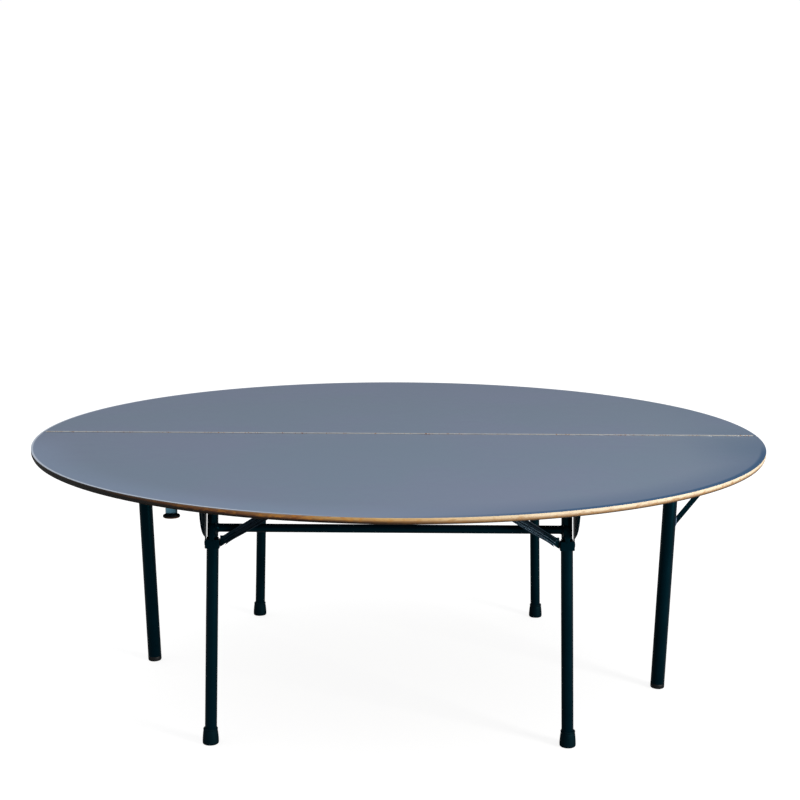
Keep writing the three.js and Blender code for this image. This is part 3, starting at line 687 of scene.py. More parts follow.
@dataclass(frozen=True)
class Plywood(Finish):
    """Bare plywood: seven plies that alternate along and across the grain.

    Painted shade darkens it towards the bottom, and it is mottled with orange-brown flecks.
    Towards one end of the seam it has patchy red-brown stains and painted shade that goes from
    red-brown to black, with a painted highlight along its top; towards the other end it has
    painted pale light.
    """

    name: str = "bare_plywood"
    slot: str = "plywood"
    roughness: float = 0.62
    specular: float = 0.25
    bump: float = 0.00025
    low: float = 0.724
    high: float = 0.739
    plies: int = 7
    # Which end of X has the painted shade: -1 for the -X end, +1 for the +X end.
    handled: float = -1.0

    def look(self, graph: Graph, place: bpy.types.NodeSocket, effects: Effects) -> tuple:
        """See Finish.look."""
        x, _, z = graph.add("SeparateXYZ", {0: place}).outputs
        rise = graph.add("MapRange", {0: z, 1: self.low, 2: self.high}).outputs[0]
        waved = graph.math("ADD", rise, graph.math("MULTIPLY", graph.noise(place, 7.0, 2.0), 0.05))
        ply = graph.math("SINE", graph.math("MULTIPLY", waved, math.pi * self.plies))
        streaks = effects.use(graph, "lines", Vector=graph.stretched(place, (0.16, 0.16, 9.0)), Scale=160.0)
        pores = effects.use(
            graph, "specks", Vector=graph.stretched(place, (1.0, 1.0, 2.6)), Scale=420.0, Amount=0.5,
        )
        # Painted shade: the ramp goes from nearly black at the bottom of the edge to light at its top; the
        # plies and streaks add the wood's own tone.
        tone = graph.math("ADD", graph.span(rise, 0.0, 1.0, 0.0, 0.74), graph.math("MULTIPLY", ply, 0.07))
        tone = graph.math("ADD", tone, graph.math("MULTIPLY", streaks, 0.16))
        wood = graph.ramp(tone, [
            (0.0, (0.07, 0.032, 0.012)), (0.2, (0.2, 0.095, 0.035)), (0.45, (0.46, 0.25, 0.085)),
            (0.72, (0.7, 0.43, 0.15)), (1.0, (0.82, 0.58, 0.28)),
        ])
        wood = graph.mix(graph.math("MULTIPLY", pores, 0.5), wood, (0.16, 0.07, 0.025, 1))
        # How far along X towards the end that has painted shade.
        toward_shaded_end = graph.math("MULTIPLY", x, self.handled)
        mottle = graph.span(graph.noise(graph.stretched(place, (1.0, 1.0, 2.4)), 60.0, 3.0), 0.5, 0.64)
        # Painted light: away from the shaded end the wood is painted pale cream, most near the top.
        pale = graph.span(toward_shaded_end, 0.12, -0.5)
        painted_pale_light = graph.math("MULTIPLY", pale, graph.span(rise, 0.2, 0.75, 0.2, 0.72))
        wood = graph.mix(painted_pale_light, wood, (0.93, 0.84, 0.66, 1))
        # Partly real stains, partly painted shade: patchy red-brown, heavier towards the shaded end.
        stains = graph.span(graph.noise(place, 14.0, 3.0), 0.46, 0.66)
        stained = graph.math("MULTIPLY", stains, graph.span(toward_shaded_end, -0.1, 0.35, 0.12, 0.85))
        wood = graph.mix(stained, wood, (0.3, 0.085, 0.025, 1))
        # Painted shade: red-brown darkening towards the shaded end.
        painted_side_shade = graph.span(toward_shaded_end, -0.05, 0.45)
        wood = graph.mix(graph.math("MULTIPLY", painted_side_shade, 0.82), wood, (0.2, 0.042, 0.011, 1))
        # Painted highlight: a lighter strip along the top of the edge towards the shaded end.
        painted_highlight_strip = graph.math("MULTIPLY", graph.span(rise, 0.74, 0.96), graph.math("MULTIPLY", painted_side_shade, 0.5))
        wood = graph.mix(painted_highlight_strip, wood, (0.5, 0.31, 0.16, 1))
        lower = graph.math("MULTIPLY", graph.span(rise, 0.95, 0.5), graph.math("MULTIPLY", mottle, 0.62))
        wood = graph.mix(lower, wood, (0.42, 0.2, 0.05, 1))
        between = graph.math("MULTIPLY", graph.span(toward_shaded_end, -0.1, 0.2), graph.span(toward_shaded_end, 0.8, 0.4))
        wood = graph.mix(
            graph.math("MULTIPLY", between, graph.math("MULTIPLY", mottle, 0.8)), wood,
            (0.6, 0.24, 0.04, 1),
        )
        # Painted shade along the lower part of the edge: brown at the lit end, nearly black towards the
        # shaded end, and reaching higher there.
        deep = graph.mix(graph.span(toward_shaded_end, -0.35, 0.15), (0.34, 0.17, 0.055, 1), (0.012, 0.006, 0.003, 1))
        depth = graph.math("SUBTRACT", rise, graph.span(toward_shaded_end, 0.3, 0.8, 0.0, 0.36))
        under = graph.math(
            "MULTIPLY", graph.span(depth, 0.62, 0.2), graph.span(toward_shaded_end, -0.45, 0.3, 0.6, 0.97),
        )
        wood = graph.mix(under, wood, deep)
        # Painted shade: the shaded end goes nearly black, with a patchy border.
        painted_end_shade = graph.math("ADD", toward_shaded_end, graph.math("MULTIPLY", graph.noise(place, 9.0, 3.0), 0.3))
        wood = graph.mix(graph.span(painted_end_shade, 0.3, 1.0, 0.0, 0.93), wood, (0.012, 0.012, 0.011, 1))
        height = graph.math("ADD", streaks, graph.math("MULTIPLY", ply, 0.5))
        return wood, graph.span(streaks, 0, 1, self.roughness - 0.08, self.roughness + 0.1), height


@dataclass(frozen=True)
class Coat(Finish):
    """An even coat, such as paint, rubber or moulded plastic, with faint patches and dust specks."""

    colour: tuple = (0.1, 0.1, 0.1)
    second: tuple = (0.12, 0.12, 0.12)
    dust: tuple = (0.3, 0.3, 0.3)
    dust_amount: float = 0.2
    patch_scale: float = 6.0
    grain_scale: float = 260.0

    def look(self, graph: Graph, place: bpy.types.NodeSocket, effects: Effects) -> tuple:
        """See Finish.look."""
        patches = effects.use(graph, "blotches", Vector=place, Scale=self.patch_scale)
        specks = effects.use(graph, "specks", Vector=place, Scale=520.0, Amount=self.dust_amount)
        base = graph.mix(patches, (*self.colour, 1), (*self.second, 1))
        colour = graph.mix(graph.math("MULTIPLY", specks, 0.35), base, (*self.dust, 1))
        rough = graph.span(patches, 0.0, 1.0, self.roughness - 0.05, self.roughness + 0.07)
        return colour, rough, graph.noise(place, self.grain_scale, 3.0)


@dataclass(frozen=True)
class Plated(Finish):
    """Plated or rolled metal: fine lines along one axis, and spots of rust or tarnish."""

    metallic: float = 1.0
    colour: tuple = (0.6, 0.6, 0.6)
    rust: tuple = (0.32, 0.14, 0.05)
    rust_amount: float = 0.3
    stretch: tuple = (0.1, 1.0, 1.0)

    def look(self, graph: Graph, place: bpy.types.NodeSocket, effects: Effects) -> tuple:
        """See Finish.look."""
        lines = effects.use(graph, "lines", Vector=graph.stretched(place, self.stretch), Scale=420.0)
        spots = effects.use(graph, "specks", Vector=place, Scale=240.0, Amount=self.rust_amount)
        darker = tuple(0.8 * part for part in self.colour)
        colour = graph.mix(spots, graph.mix(lines, (*self.colour, 1), (*darker, 1)), (*self.rust, 1))
        rough = graph.math(
            "ADD", graph.span(lines, 0, 1, self.roughness, self.roughness + 0.12),
            graph.math("MULTIPLY", spots, 0.3),
        )
        return colour, rough, lines


@dataclass(frozen=True)
class TwoTone(Coat):
    """A moulded skirt whose lower rim is worn through to brown."""

    brown: tuple = (0.26, 0.11, 0.04)
    turn_height: float = 0.6600

    def look(self, graph: Graph, place: bpy.types.NodeSocket, effects: Effects) -> tuple:
        """See Finish.look."""
        colour, rough, height = super().look(graph, place, effects)
        z = graph.add("SeparateXYZ", {0: place}).outputs[2]
        ragged = graph.math("ADD", z, graph.math("MULTIPLY", graph.noise(place, 90.0, 3.0), 0.004))
        worn = graph.span(ragged, self.turn_height + 0.003, self.turn_height)
        return graph.mix(worn, colour, (*self.brown, 1)), rough, height


class Paintshop:
    """Builds each finish the first time a piece asks for it."""

    def __init__(self) -> None:
        """Starts with the shared effects and no materials."""
        self.effects = Effects()
        self.materials: dict[Finish, bpy.types.Material] = {}

    def material(self, finish: Finish) -> bpy.types.Material:
        """The material of a finish.

        Args:
            finish: the finish.

        Returns:
            Its material, built the first time it is asked for.
        """
        if finish not in self.materials:
            self.materials[finish] = finish.build(self.effects)
        return self.materials[finish]


LAMINATE = Laminate()
PLYWOOD = Plywood()
# The rear half's plywood has its painted shade at the +X end.
PLYWOOD_REAR = Plywood(name="bare_plywood_rear", handled=1.0)
BACKER = Coat(
    name="brown_backing_sheet", slot="backer", colour=(0.03, 0.018, 0.011), second=(0.05, 0.03, 0.018),
    dust=(0.16, 0.12, 0.08), roughness=0.6, specular=0.3, bump=0.00008, dust_amount=0.35,
)
ENAMEL = Coat(
    name="dark_teal_enamel", slot="dark_steel", colour=(0.0004, 0.0062, 0.0105),
    second=(0.0006, 0.0078, 0.0135),
    dust=(0.01, 0.025, 0.035), roughness=0.3, specular=0.12, tint=(0.06, 0.75, 1.0), bump=0.00003,
    dust_amount=0.05,
)
ENAMEL_WORN = Coat(
    name="worn_teal_enamel", slot="dark_steel", colour=(0.003, 0.0095, 0.017), second=(0.004, 0.012, 0.021),
    dust=(0.02, 0.035, 0.05), roughness=0.3, specular=0.5, tint=(0.5, 0.76, 1.0), bump=0.00001,
    dust_amount=0.0,
)
ZINC = Plated(
    name="zinc_plate", slot="zinc", colour=(0.56, 0.58, 0.6), roughness=0.3, bump=0.00002, rust_amount=0.12,
)
BLUE_ZINC = Plated(
    name="blue_zinc", slot="zinc", colour=(0.24, 0.36, 0.52), roughness=0.42, bump=0.00002,
    rust_amount=0.02,
)
HINGE_STEEL = Plated(
    name="rolled_hinge_steel", slot="hinge_steel", colour=(0.5, 0.5, 0.48), roughness=0.38, bump=0.00003,
    rust_amount=0.62, stretch=(0.08, 1.0, 1.0),
)
CHROME = Plated(
    name="chrome_sleeve", slot="chrome_sleeve", colour=(0.17, 0.4, 0.55), roughness=0.12, bump=0.000005,
    rust_amount=0.0, stretch=(1.0, 1.0, 0.1),
)
RUBBER = Coat(
    name="black_rubber", slot="foot_rubber", colour=(0.0008, 0.006, 0.0095), second=(0.0016, 0.008, 0.0125),
    dust=(0.03, 0.045, 0.05), roughness=0.6, specular=0.12, tint=(0.2, 0.8, 1.0), bump=0.0001,
    dust_amount=0.12,
)
PLASTIC = Coat(
    name="black_glide_plastic", slot="glide_plastic", colour=(0.005, 0.007, 0.009),
    second=(0.01, 0.012, 0.014),
    dust=(0.1, 0.1, 0.1), roughness=0.5, specular=0.25, bump=0.00006, dust_amount=0.3,
)
SKIRT = TwoTone(
    name="worn_skirt_plastic", slot="skirt_plastic", colour=(0.006, 0.006, 0.007),
    second=(0.012, 0.012, 0.013),
    dust=(0.1, 0.09, 0.08), roughness=0.5, specular=0.25, bump=0.00008,
)


# ------------------------------------------------------------------------------------ pieces


@dataclass
class Workshop:
    """Turns shells into finished pieces of the table."""

    paints: Paintshop

    def piece(
        self, name: str, shells: Shell | list[Shell], finish: Finish, body: str,
        stands_for: tuple[str, ...] = (), bevel: float = 0.0, crease: float = 36.0,
    ) -> bpy.types.Object:
        """A piece of the table, dressed and riding on its body.

        Args:
            name: the piece's name.
            shells: its surface or surfaces.
            finish: its finish.
            body: the body that it moves with.
            stands_for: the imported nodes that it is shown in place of.
            bevel: how far its sharp edges are rounded, or 0.
            crease: the angle in degrees past which an edge stays sharp.

        Returns:
            The finished object.
        """
        shell = Shell.joined(shells) if isinstance(shells, list) else shells
        mesh = bpy.data.meshes.new(name)
        faces = shell.quads.tolist() + [cap.tolist() for cap in shell.caps]
        mesh.from_pydata(shell.points, [], faces)
        mesh.validate()
        mesh.shade_smooth()
        mesh.set_sharp_from_angle(angle=math.radians(crease))
        mesh.materials.append(self.paints.material(finish))
        item = bpy.data.objects.new(name, mesh)
        bpy.context.scene.collection.objects.link(item)
        if bevel > 0:
            rounding = item.modifiers.new("rounded_edges", "BEVEL")
            rounding.width = bevel
            rounding.segments = 2
            rounding.limit_method = "ANGLE"
            rounding.angle_limit = math.radians(crease)
            rounding.harden_normals = True
        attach(item, body)
        if stands_for:
            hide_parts(*stands_for)
        LOG.info("%s: %d faces on %s", name, len(faces), body)
        return item


def turned_placement(half: Half, origin: tuple[float, float, float] = (0.0, 0.0, 0.0)) -> Placement:
    """The half's own frame: the front half's is the table's, the rear half's is half a turn on.

    Args:
        half: the half of the table.
        origin: the frame's origin, in the half's own axes.

    Returns:
        The frame.
    """
    turn = half.value
    x, y, z = origin
    return Placement.at((turn * x, turn * y, z), [(turn, 0, 0), (0, turn, 0), (0, 0, 1)])


@dataclass
class Tabletop:
    """One half of the top: laminate, plywood and backing sheet.

    Each layer is a half disc: point = centre + share * (rim(angle) - centre), where rim runs round
    the half circle and the share and height follow the layer's edge profile.
    """

    half: Half
    shop: Workshop
    radius: float = 1.067
    seam_gap: float = 2.6 * MM
    rim_steps: int = 360

    def layer(self, profile: list[tuple[float, float]]) -> Shell:
        """A layer of the half disc.

        Args:
            profile: (inset from the rim, height) points, from the lower face to the upper.

        Returns:
            The closed shell.
        """
        start = math.asin(self.seam_gap / self.radius)
        angle = np.linspace(math.pi + start, TAU - start, self.rim_steps)
        rim = self.radius * np.stack([np.cos(angle), np.sin(angle)], 1)
        centre = np.array([0.0, -self.seam_gap])
        spokes = rim - centre
        length = np.linalg.norm(spokes, axis=1)[:, None]
        rings = []
        for inset, height in profile:
            ring = centre + spokes * (1 - inset / length)
            rings.append(np.column_stack([ring, np.full(len(ring), height)]))
        return tube_between(np.array(rings)).placed(turned_placement(self.half))

    def build(self) -> None:
        """Makes the three layers."""
        label = self.half.label
        body = self.half.body
        low, high = (corner.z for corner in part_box(f"{label}_top_laminate"))
        roll = np.radians(np.linspace(0, 90, 7))
        edge = 0.55 * MM
        rounded = [(edge * (1 - math.sin(t)), high - edge * (1 - math.cos(t))) for t in roll[::-1]]
        lip = 0.1 * MM
        self.shop.piece(
            f"{label}_laminate_sheet", self.layer([(lip, low - GAP), (0.0, low)] + rounded),
            LAMINATE, body, (f"{label}_top_laminate",), crease=60,
        )
        low, high = (corner.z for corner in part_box(f"{label}_top_core"))
        drop = 6.5 * MM
        soft = [(drop * (1 - math.sin(t)), low + drop * (1 - math.cos(t))) for t in roll]
        worn = [(0.15 * MM, high - 1.2 * MM), (0.45 * MM, high)]
        self.shop.piece(
            f"{label}_plywood_core", self.layer(soft + [(0.0, high - 4 * MM)] + worn),
            PLYWOOD if self.half is Half.FRONT else PLYWOOD_REAR, body, (f"{label}_top_core",), crease=60,
        )
        low, high = (corner.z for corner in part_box(f"{label}_top_backer"))
        self.shop.piece(
            f"{label}_backing_sheet",
            self.layer([(3.4 * MM, low), (3.0 * MM, low + 0.1 * MM), (3.0 * MM, high + GAP)]),
            BACKER, body, (f"{label}_top_backer",), crease=60,
        )


@dataclass
class SeamHinge:
    """The piano hinge: two leaves, their knuckles and the pin."""

    shop: Workshop
    knuckles: int = 52
    radius: float = 2.2 * MM
    pin_radius: float = 1.0 * MM
    leaf_thickness: float = 1.9 * MM

    def knuckle_profile(self, length: float) -> np.ndarray:
        """A rolled knuckle: a tube about the pin with rounded end edges, as a closed profile.

        Args:
            length: the knuckle's length.

        Returns:
            Pairs of radius and height, in order.
        """
        edge = 0.35 * MM
        bore = self.pin_radius + 0.15 * MM
        return np.array([
            (bore, 0), (self.radius - edge, 0), (self.radius, edge),
            (self.radius, length - edge), (self.radius - edge, length), (bore, length),
        ])

    def build(self) -> None:
        """Makes both leaves with their knuckles, and the pin."""
        low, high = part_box("hinge_pin")
        height = JOINTS["top_fold"]["pos_m"][2]
        length = high.x - low.x
        pitch = length / self.knuckles
        along_x = [(0, 1, 0), (0, 0, 1), (1, 0, 0)]
        for half in Half:
            first = 0 if half is Half.FRONT else 1
            profile = self.knuckle_profile(pitch - 0.5 * MM)
            shells = [
                revolved(profile, 20, ring=True).placed(
                    Placement.at((low.x + number * pitch + 0.25 * MM, 0, height), along_x))
                for number in range(first, self.knuckles, 2)
            ]
            leaf_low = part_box(f"{half.label}_hinge_leaf")[0]
            back = -(2.3 * MM)
            plate = np.array([
                (low.x, back), (high.x, back), (high.x, back + self.leaf_thickness),
                (low.x, back + self.leaf_thickness),
            ])
            leaf_top = height - self.radius - GAP
            shells.append(slab(plate, leaf_low.z, leaf_top).placed(turned_placement(half)))
            webs = [low.x + number * pitch + pitch / 2 for number in range(first, self.knuckles, 2)]
            web = rounded_rectangle(pitch - 0.6 * MM, 1.2 * MM, 0.2 * MM, 3)
            shells += [
                slab(
                    web + (x, half.value * (back + 0.6 * MM)), leaf_top - 0.5 * MM, height - 0.2 * MM,
                ) for x in webs
            ]
            self.shop.piece(
                f"{half.label}_piano_hinge_leaf", shells, HINGE_STEEL, half.body,
                (f"{half.label}_hinge_leaf",),
            )
        pin = rounded_bar(self.pin_radius, 0, length, 0.3 * MM, 16).placed(
            Placement.at((low.x, 0, height), along_x)
        )
        self.shop.piece("piano_hinge_pin", pin, ZINC, "front_half", ("hinge_pin",))


def screw_heads(places: list[tuple[float, float]], face: float) -> list[Shell]:
    """Pan-head screws under a plate: a low dome round a round socket, hanging from a face.

    Args:
        places: where they are, in X and Y.
        face: the height of the plate's lower face.

    Returns:
        Their shells.
    """
    turn = np.radians(np.linspace(0, 90, 5))
    dome = np.stack([1.5 * MM + 2.8 * MM * np.cos(turn), -2.0 * MM * np.sin(turn)], 1)
    profile = np.concatenate([
        [(4.3 * MM, 0.6 * MM)], dome, [(1.4 * MM, -1.9 * MM), (1.1 * MM, -0.7 * MM), (0.2 * MM, -0.7 * MM)],
    ])
    head = revolved(profile, 16)
    return [Shell(head.points + np.array([x, y, face]), head.quads, head.caps) for x, y in places]


@dataclass
class FrameLeg:
    """A frame leg: fixed tube, knee, folding tube, foot, gusset and channel stay.

    Its own frame has X outwards along the knee bolt, Y towards the rim and Z up the tube, with
    the bolt's middle as its origin.
    """

    half: Half
    side: Side
    shop: Workshop
    tube: float = 16 * MM
    stub: float = 14.4 * MM
    stub_start: float = 17 * MM
    cheek_inside: float = 16.65 * MM
    cheek: float = 2.6 * MM
    cheek_radius: float = 12 * MM
    lip_left: float = 2.2 * MM
    lip_right: float = 6.4 * MM
    top_plate: tuple[float, float] = (96 * MM, 74 * MM)
    top_plate_thickness: float = 3 * MM
    top_plate_inward: float = 14 * MM
    top_plate_screws: tuple[float, float] = (36 * MM, 25 * MM)
    plate_corner: float = 8 * MM
    tongue_width: float = 12 * MM
    tongue_low: float = 8 * MM
    tongue_high: float = 52 * MM
    gusset_plane: float = 17.2 * MM
    gusset_thickness: float = 2.6 * MM
    flange: tuple[float, float] = (20 * MM, 70 * MM)
    flange_thickness: float = 3.6 * MM
    flange_screws: tuple[int, int] = (58, 104)
    stay_yaw: float = math.radians(12)
    stay_slope: float = math.radians(32.4)
    stay_depth: float = 23.5 * MM
    stay_start: float = 9 * MM
    stay_start_height: float = 22 * MM
    stay_half_width: float = 10 * MM
    stay_sheet: float = 1.5 * MM
    stay_plate: tuple[float, float] = (88 * MM, 46 * MM)
    stay_plate_screws: tuple[float, float] = (32 * MM, 15 * MM)

    @property
    def lip(self) -> float:
        """How far the gusset's curved edge is turned outwards at its top."""
        return self.lip_left if self.side is Side.LEFT else self.lip_right

    def __post_init__(self) -> None:
        """Works out the leg's frame from its knee joint."""
        self.label = f"{self.half.label}_{self.side.label}"
        self.leg_body = f"{self.label}_leg"
        joint = JOINTS[f"{self.label}_knee"]
        bolt = np.array(joint["axis"], float)
        up = np.array([-bolt[2], 0, bolt[0]]) * np.sign(bolt[0])
        out = np.array([up[2], 0, -up[0]]) * self.side.value
        rim = np.array([0.0, -self.half.value, 0.0])
        self.pivot = np.array(joint["pos_m"], float)
        self.frame = Placement(self.pivot, np.array([out, rim, up]))
        self.along_bolt = Placement(self.pivot, np.array([rim, up, out]))
        self.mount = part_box(f"{self.label}_leg_stub")[1].z

    @property
    def reach(self) -> float:
        """From the bolt up the tube to the underside."""
        return (self.mount - self.pivot[2]) / self.frame.axes[2][2]

    def node(self, name: str) -> str:
        """The full name of one of this leg's nodes."""
        return f"{self.label}_{name}"

    def build(self) -> None:
        """Makes every piece of the leg."""
        self.make_stub()
        self.make_knee()
        self.make_lower_leg()
        self.make_foot()
        self.make_gusset()
        self.make_stay()

    def make_stub(self) -> None:
        """The fixed tube and its screwed plate."""
        tube = rounded_bar(self.stub, self.stub_start, self.reach - 2 * MM, 0.6 * MM).placed(self.frame)
        top = self.pivot + self.frame.axes[2] * self.reach
        middle_x = top[0] - self.side.value * self.top_plate_inward
        outline = rounded_rectangle(*self.top_plate, self.plate_corner) + (middle_x, top[1])
        face = self.mount - self.top_plate_thickness
        plate = slab(outline, face, self.mount)
        weld = np.array([(-1, -9), (0.6, -7.5), (3, -4.2), (4.6, -2.6), (-1, -2.6)]) * MM
        collar = revolved(weld + (self.stub, 0), 48, ring=True)
        collar = collar.placed(Placement.at(tuple(top), self.frame.axes))
        self.shop.piece(
            self.node("fixed_tube"), [tube, collar], ENAMEL, self.half.body, (self.node("leg_stub"),),
        )
        self.shop.piece(self.node("leg_plate"), plate, ENAMEL, self.half.body, bevel=0.5 * MM)
        along, across = self.top_plate_screws
        insets = [(dx * along, dy * across) for dx in (-1, 1) for dy in (-1, 1)]
        places = [(middle_x + dx, top[1] + dy) for dx, dy in insets]
        self.shop.piece(self.node("plate_screws"), screw_heads(places, face), ZINC, self.half.body)

    def make_knee(self) -> None:
        """The U bracket, as one bent sheet, with its tongue, bolt, washers and nut.

        The sheet's middle line is a U with round corners, seen along the tube. Its height at each
        point is the bracket's half height, rounded off about the bolt past the tube's middle.
        """
        middle = self.cheek_inside + self.cheek / 2
        back = self.tube + GAP + 1.3 * MM
        bend = 2.6 * MM
        front = -self.cheek_radius
        straight = np.linspace(front, back - bend, 14)
        right = np.column_stack([np.full(14, middle), straight])
        corner = arc((middle - bend, back - bend), bend, 0, 90, 5)
        line = np.concatenate([right, corner[1:], (corner * (-1, 1))[::-1][:-1], (right * (-1, 1))[::-1]])
        outline = thickened(line, self.cheek)
        depth = np.clip(-outline[:, 1], 0, self.cheek_radius * 0.9999)
        height = np.sqrt(self.cheek_radius ** 2 - depth ** 2)
        share = np.linspace(-1, 1, 7)
        rings = np.stack([np.column_stack([outline, height * s]) for s in share])
        bracket = tube_between(rings).placed(self.frame)
        tongue = swept(
            rounded_rectangle(self.tongue_width, self.cheek, 0.8 * MM, 3),
            np.array([
                (0, back, self.tongue_low), (0, back, self.tongue_high - 2 * MM),
                (0, back - 0.6 * MM, self.tongue_high),
            ]),
            np.array([1.0, 0, 0]), np.array([0, 1.0, 0]), np.array([1, 1, 0.86]),
        ).placed(self.frame)
        bead = rounded_bar(1.7 * MM, -9 * MM, 9 * MM, 1.5 * MM, 12)
        welds = [
            bead.placed(
                Placement(self.frame.apply(np.array([x * MM, (back - 1.0 * MM), 40 * MM])), self.frame.axes)
            )
            for x in (-6.2, 6.2)
        ]
        self.shop.piece(
            self.node("knee_sheet"), [bracket, tongue, *welds], ENAMEL, self.half.body,
            (self.node("knee_bracket"),), bevel=0.35 * MM,
        )
        outside = self.cheek_inside + self.cheek + GAP
        turn = np.radians(np.linspace(0, 90, 6))
        dome = np.stack([8 * MM * np.cos(turn) + 0.2 * MM, outside + 0.6 * MM + 1.9 * MM * np.sin(turn)], 1)
        head = revolved(np.concatenate([[(8.2 * MM, outside)], dome]), 32)
        shank = rounded_bar(4 * MM, -(outside + 4.6 * MM), outside + 0.5 * MM, 0.5 * MM, 24)
        washer = revolved(
            [(4.2 * MM, 0), (8.6 * MM, 0), (8.6 * MM, 0.9 * MM), (4.2 * MM, 0.9 * MM)], 32, ring=True,
        )
        washer = Shell(washer.points + (0, 0, -(outside + 0.9 * MM)), washer.quads)
        hexagon = arc((0, 0), 7.2 * MM, 0, 300, 6)
        nut = slab(hexagon, -(outside + 3.6 * MM), -(outside + 0.9 * MM))
        shells = [shell.placed(self.along_bolt) for shell in (head, shank, washer, nut)]
        self.shop.piece(
            self.node("knee_bolt_set"), shells, ENAMEL_WORN, self.half.body,
            (self.node("knee_bolt"),), bevel=0.25 * MM,
        )

    def make_lower_leg(self) -> None:
        """The folding tube. Its upper end is rounded about the bolt: height = root(r^2 - y^2)."""
        low = -(self.pivot[2] - 7.5 * MM) / self.frame.axes[2][2]
        angle = np.linspace(0, TAU, 64, endpoint=False)
        ring = self.tube * np.stack([np.cos(angle), np.sin(angle)], 1)
        crown = np.sqrt(np.clip(self.tube ** 2 - ring[:, 1] ** 2, 0, None))
        levels = [low, low + 60 * MM, -220 * MM, -20 * MM]
        rings = [np.column_stack([ring, np.full(64, level)]) for level in levels]
        rounding = ((1.0, 0.0), (1.0, 0.86), (0.97, 0.96), (0.88, 0.99))
        rings += [np.column_stack([ring * shrink, crown * lift]) for shrink, lift in rounding]
        tube = tube_between(np.array(rings)).placed(self.frame)
        self.shop.piece(
            self.node("folding_tube"), tube, ENAMEL, self.leg_body, (self.node("lower_leg"),), crease=50,
        )

    def make_foot(self) -> None:
        """The rubber foot: a lip at the top, a flare and a rounded lower edge."""
        low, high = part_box(self.node("foot"))
        heights = np.array(
            [0, 0.35, 1.4, 3.2, 6, 10, 16, 24, 32, 37.4, 38.4, 39.4, 41.6, 43, 43.8, 44]
        ) * MM
        radii = np.array([
            18.6, 19.9, 21.05, 21.65, 21.8, 21.75, 21.45, 20.8, 20.0, 19.2, 18.6, 19.4, 19.6, 19.2,
            18.6, 16.4,
        ]) * MM
        middle = ((low.x + high.x) / 2, (low.y + high.y) / 2, 0.0)
        foot = revolved(np.stack([radii, heights], 1), 64).placed(Placement.at(middle))
        self.shop.piece(
            self.node("rubber_foot"), foot, RUBBER, self.leg_body, (self.node("foot"),), crease=50,
        )

    def gusset_edge(self, height: np.ndarray) -> np.ndarray:
        """How far the gusset reaches towards the rim at a height over the bolt.

        The edge is a cubic curve from the knee to the underside; its reach at a height is read
        off the curve.

        Args:
            height: heights over the bolt.

        Returns:
            The reach at each height.
        """
        start = self.cheek_radius + 5.3 * MM
        corners = np.array([
            (9 * MM, start), (68 * MM, 36 * MM), (119.6 * MM, self.reach * 0.46),
            (122 * MM, self.reach + 6 * MM),
        ])
        t = np.linspace(0, 1, 200)[:, None]
        weights = [(1 - t) ** 3, 3 * t * (1 - t) ** 2, 3 * t ** 2 * (1 - t), t ** 3]
        curve = sum(weight * corner for weight, corner in zip(weights, corners))
        return np.interp(height, curve[:, 1], curve[:, 0])

    def make_gusset(self) -> None:
        """The gusset: a plate in the plane beside the tube, and its flange under the top."""
        start = self.cheek_radius + GAP
        top = self.reach - 3.6 * MM
        heights = np.concatenate([[start, start + 5.3 * MM], np.linspace(start + 7 * MM, top, 30)])
        edge = self.gusset_edge(heights)
        outline = np.concatenate([np.stack([edge, heights], 1), [(-8 * MM, top), (-8 * MM, start)]])
        plane = Placement(
            self.pivot, np.array([self.frame.axes[1], self.frame.axes[2], self.frame.axes[0]]),
        )
        outside = self.gusset_plane + self.gusset_thickness
        web = slab(outline, self.gusset_plane, outside).placed(plane)
        border = np.stack([edge, heights], 1)[1:]
        inside = border - np.array([2.4 * MM, -2.4 * MM])
        lip = slab(np.concatenate([border, inside[::-1]]), self.gusset_plane, outside)
        rise = np.clip((lip.points[:, 1] - start - 20 * MM) / (top - start - 20 * MM), 0, 1)
        outer = lip.points[:, 2] > 19 * MM
        lip.points[outer, 2] += self.lip * np.sqrt(rise[outer])
        lip = lip.placed(plane)
        foot = self.pivot + self.frame.axes[2] * self.reach + self.frame.axes[0] * 27.2 * MM
        flange = rounded_rectangle(*self.flange, 3 * MM) + (
            foot[0], self.pivot[1] - self.half.value * 84 * MM,
        )
        face = self.mount - self.flange_thickness
        plate = slab(flange, face, self.mount - 0.4 * MM)
        places = [(
            foot[0] + self.side.value * 2 * MM, self.pivot[1] - self.half.value * y * MM,
        ) for y in self.flange_screws]
        self.shop.piece(
            self.node("gusset_plate"), [web, lip, plate], ENAMEL, self.half.body, (self.node("gusset"),),
            bevel=0.4 * MM,
        )
        self.shop.piece(self.node("gusset_screws"), screw_heads(places, face), ZINC, self.half.body)

    def stay_section(self) -> np.ndarray:
        """The stay's section: a web with one deep rib and two shallow ones, between two lips.

        Each rib is a raised cosine across the web; the lips are turned towards the rim.

        Returns:
            The closed outline of the section.
        """
        across = np.linspace(-self.stay_half_width, self.stay_half_width, 61)
        deep = 4.2 * MM * np.where(
            abs(across) < 3.2 * MM, np.cos(across / (3.2 * MM) * math.pi / 2) ** 2, 0,
        )
        offset = abs(across) - 7.0 * MM
        shallow = 1.6 * MM * np.where(
            abs(offset) < 2.0 * MM, np.cos(offset / (2.0 * MM) * math.pi / 2) ** 2, 0,
        )
        web = np.stack([across, 1 * MM + deep + shallow], 1)
        bend = arc((self.stay_half_width, 2.2 * MM), 1.2 * MM, -90, 0, 5)
        lip = np.array([(11.2 * MM, 5 * MM), (11.2 * MM, 12.6 * MM)])
        right = np.concatenate([bend[1:], lip])
        line = np.concatenate([(right * (-1, 1))[::-1], web, right])
        return thickened(line, self.stay_sheet)

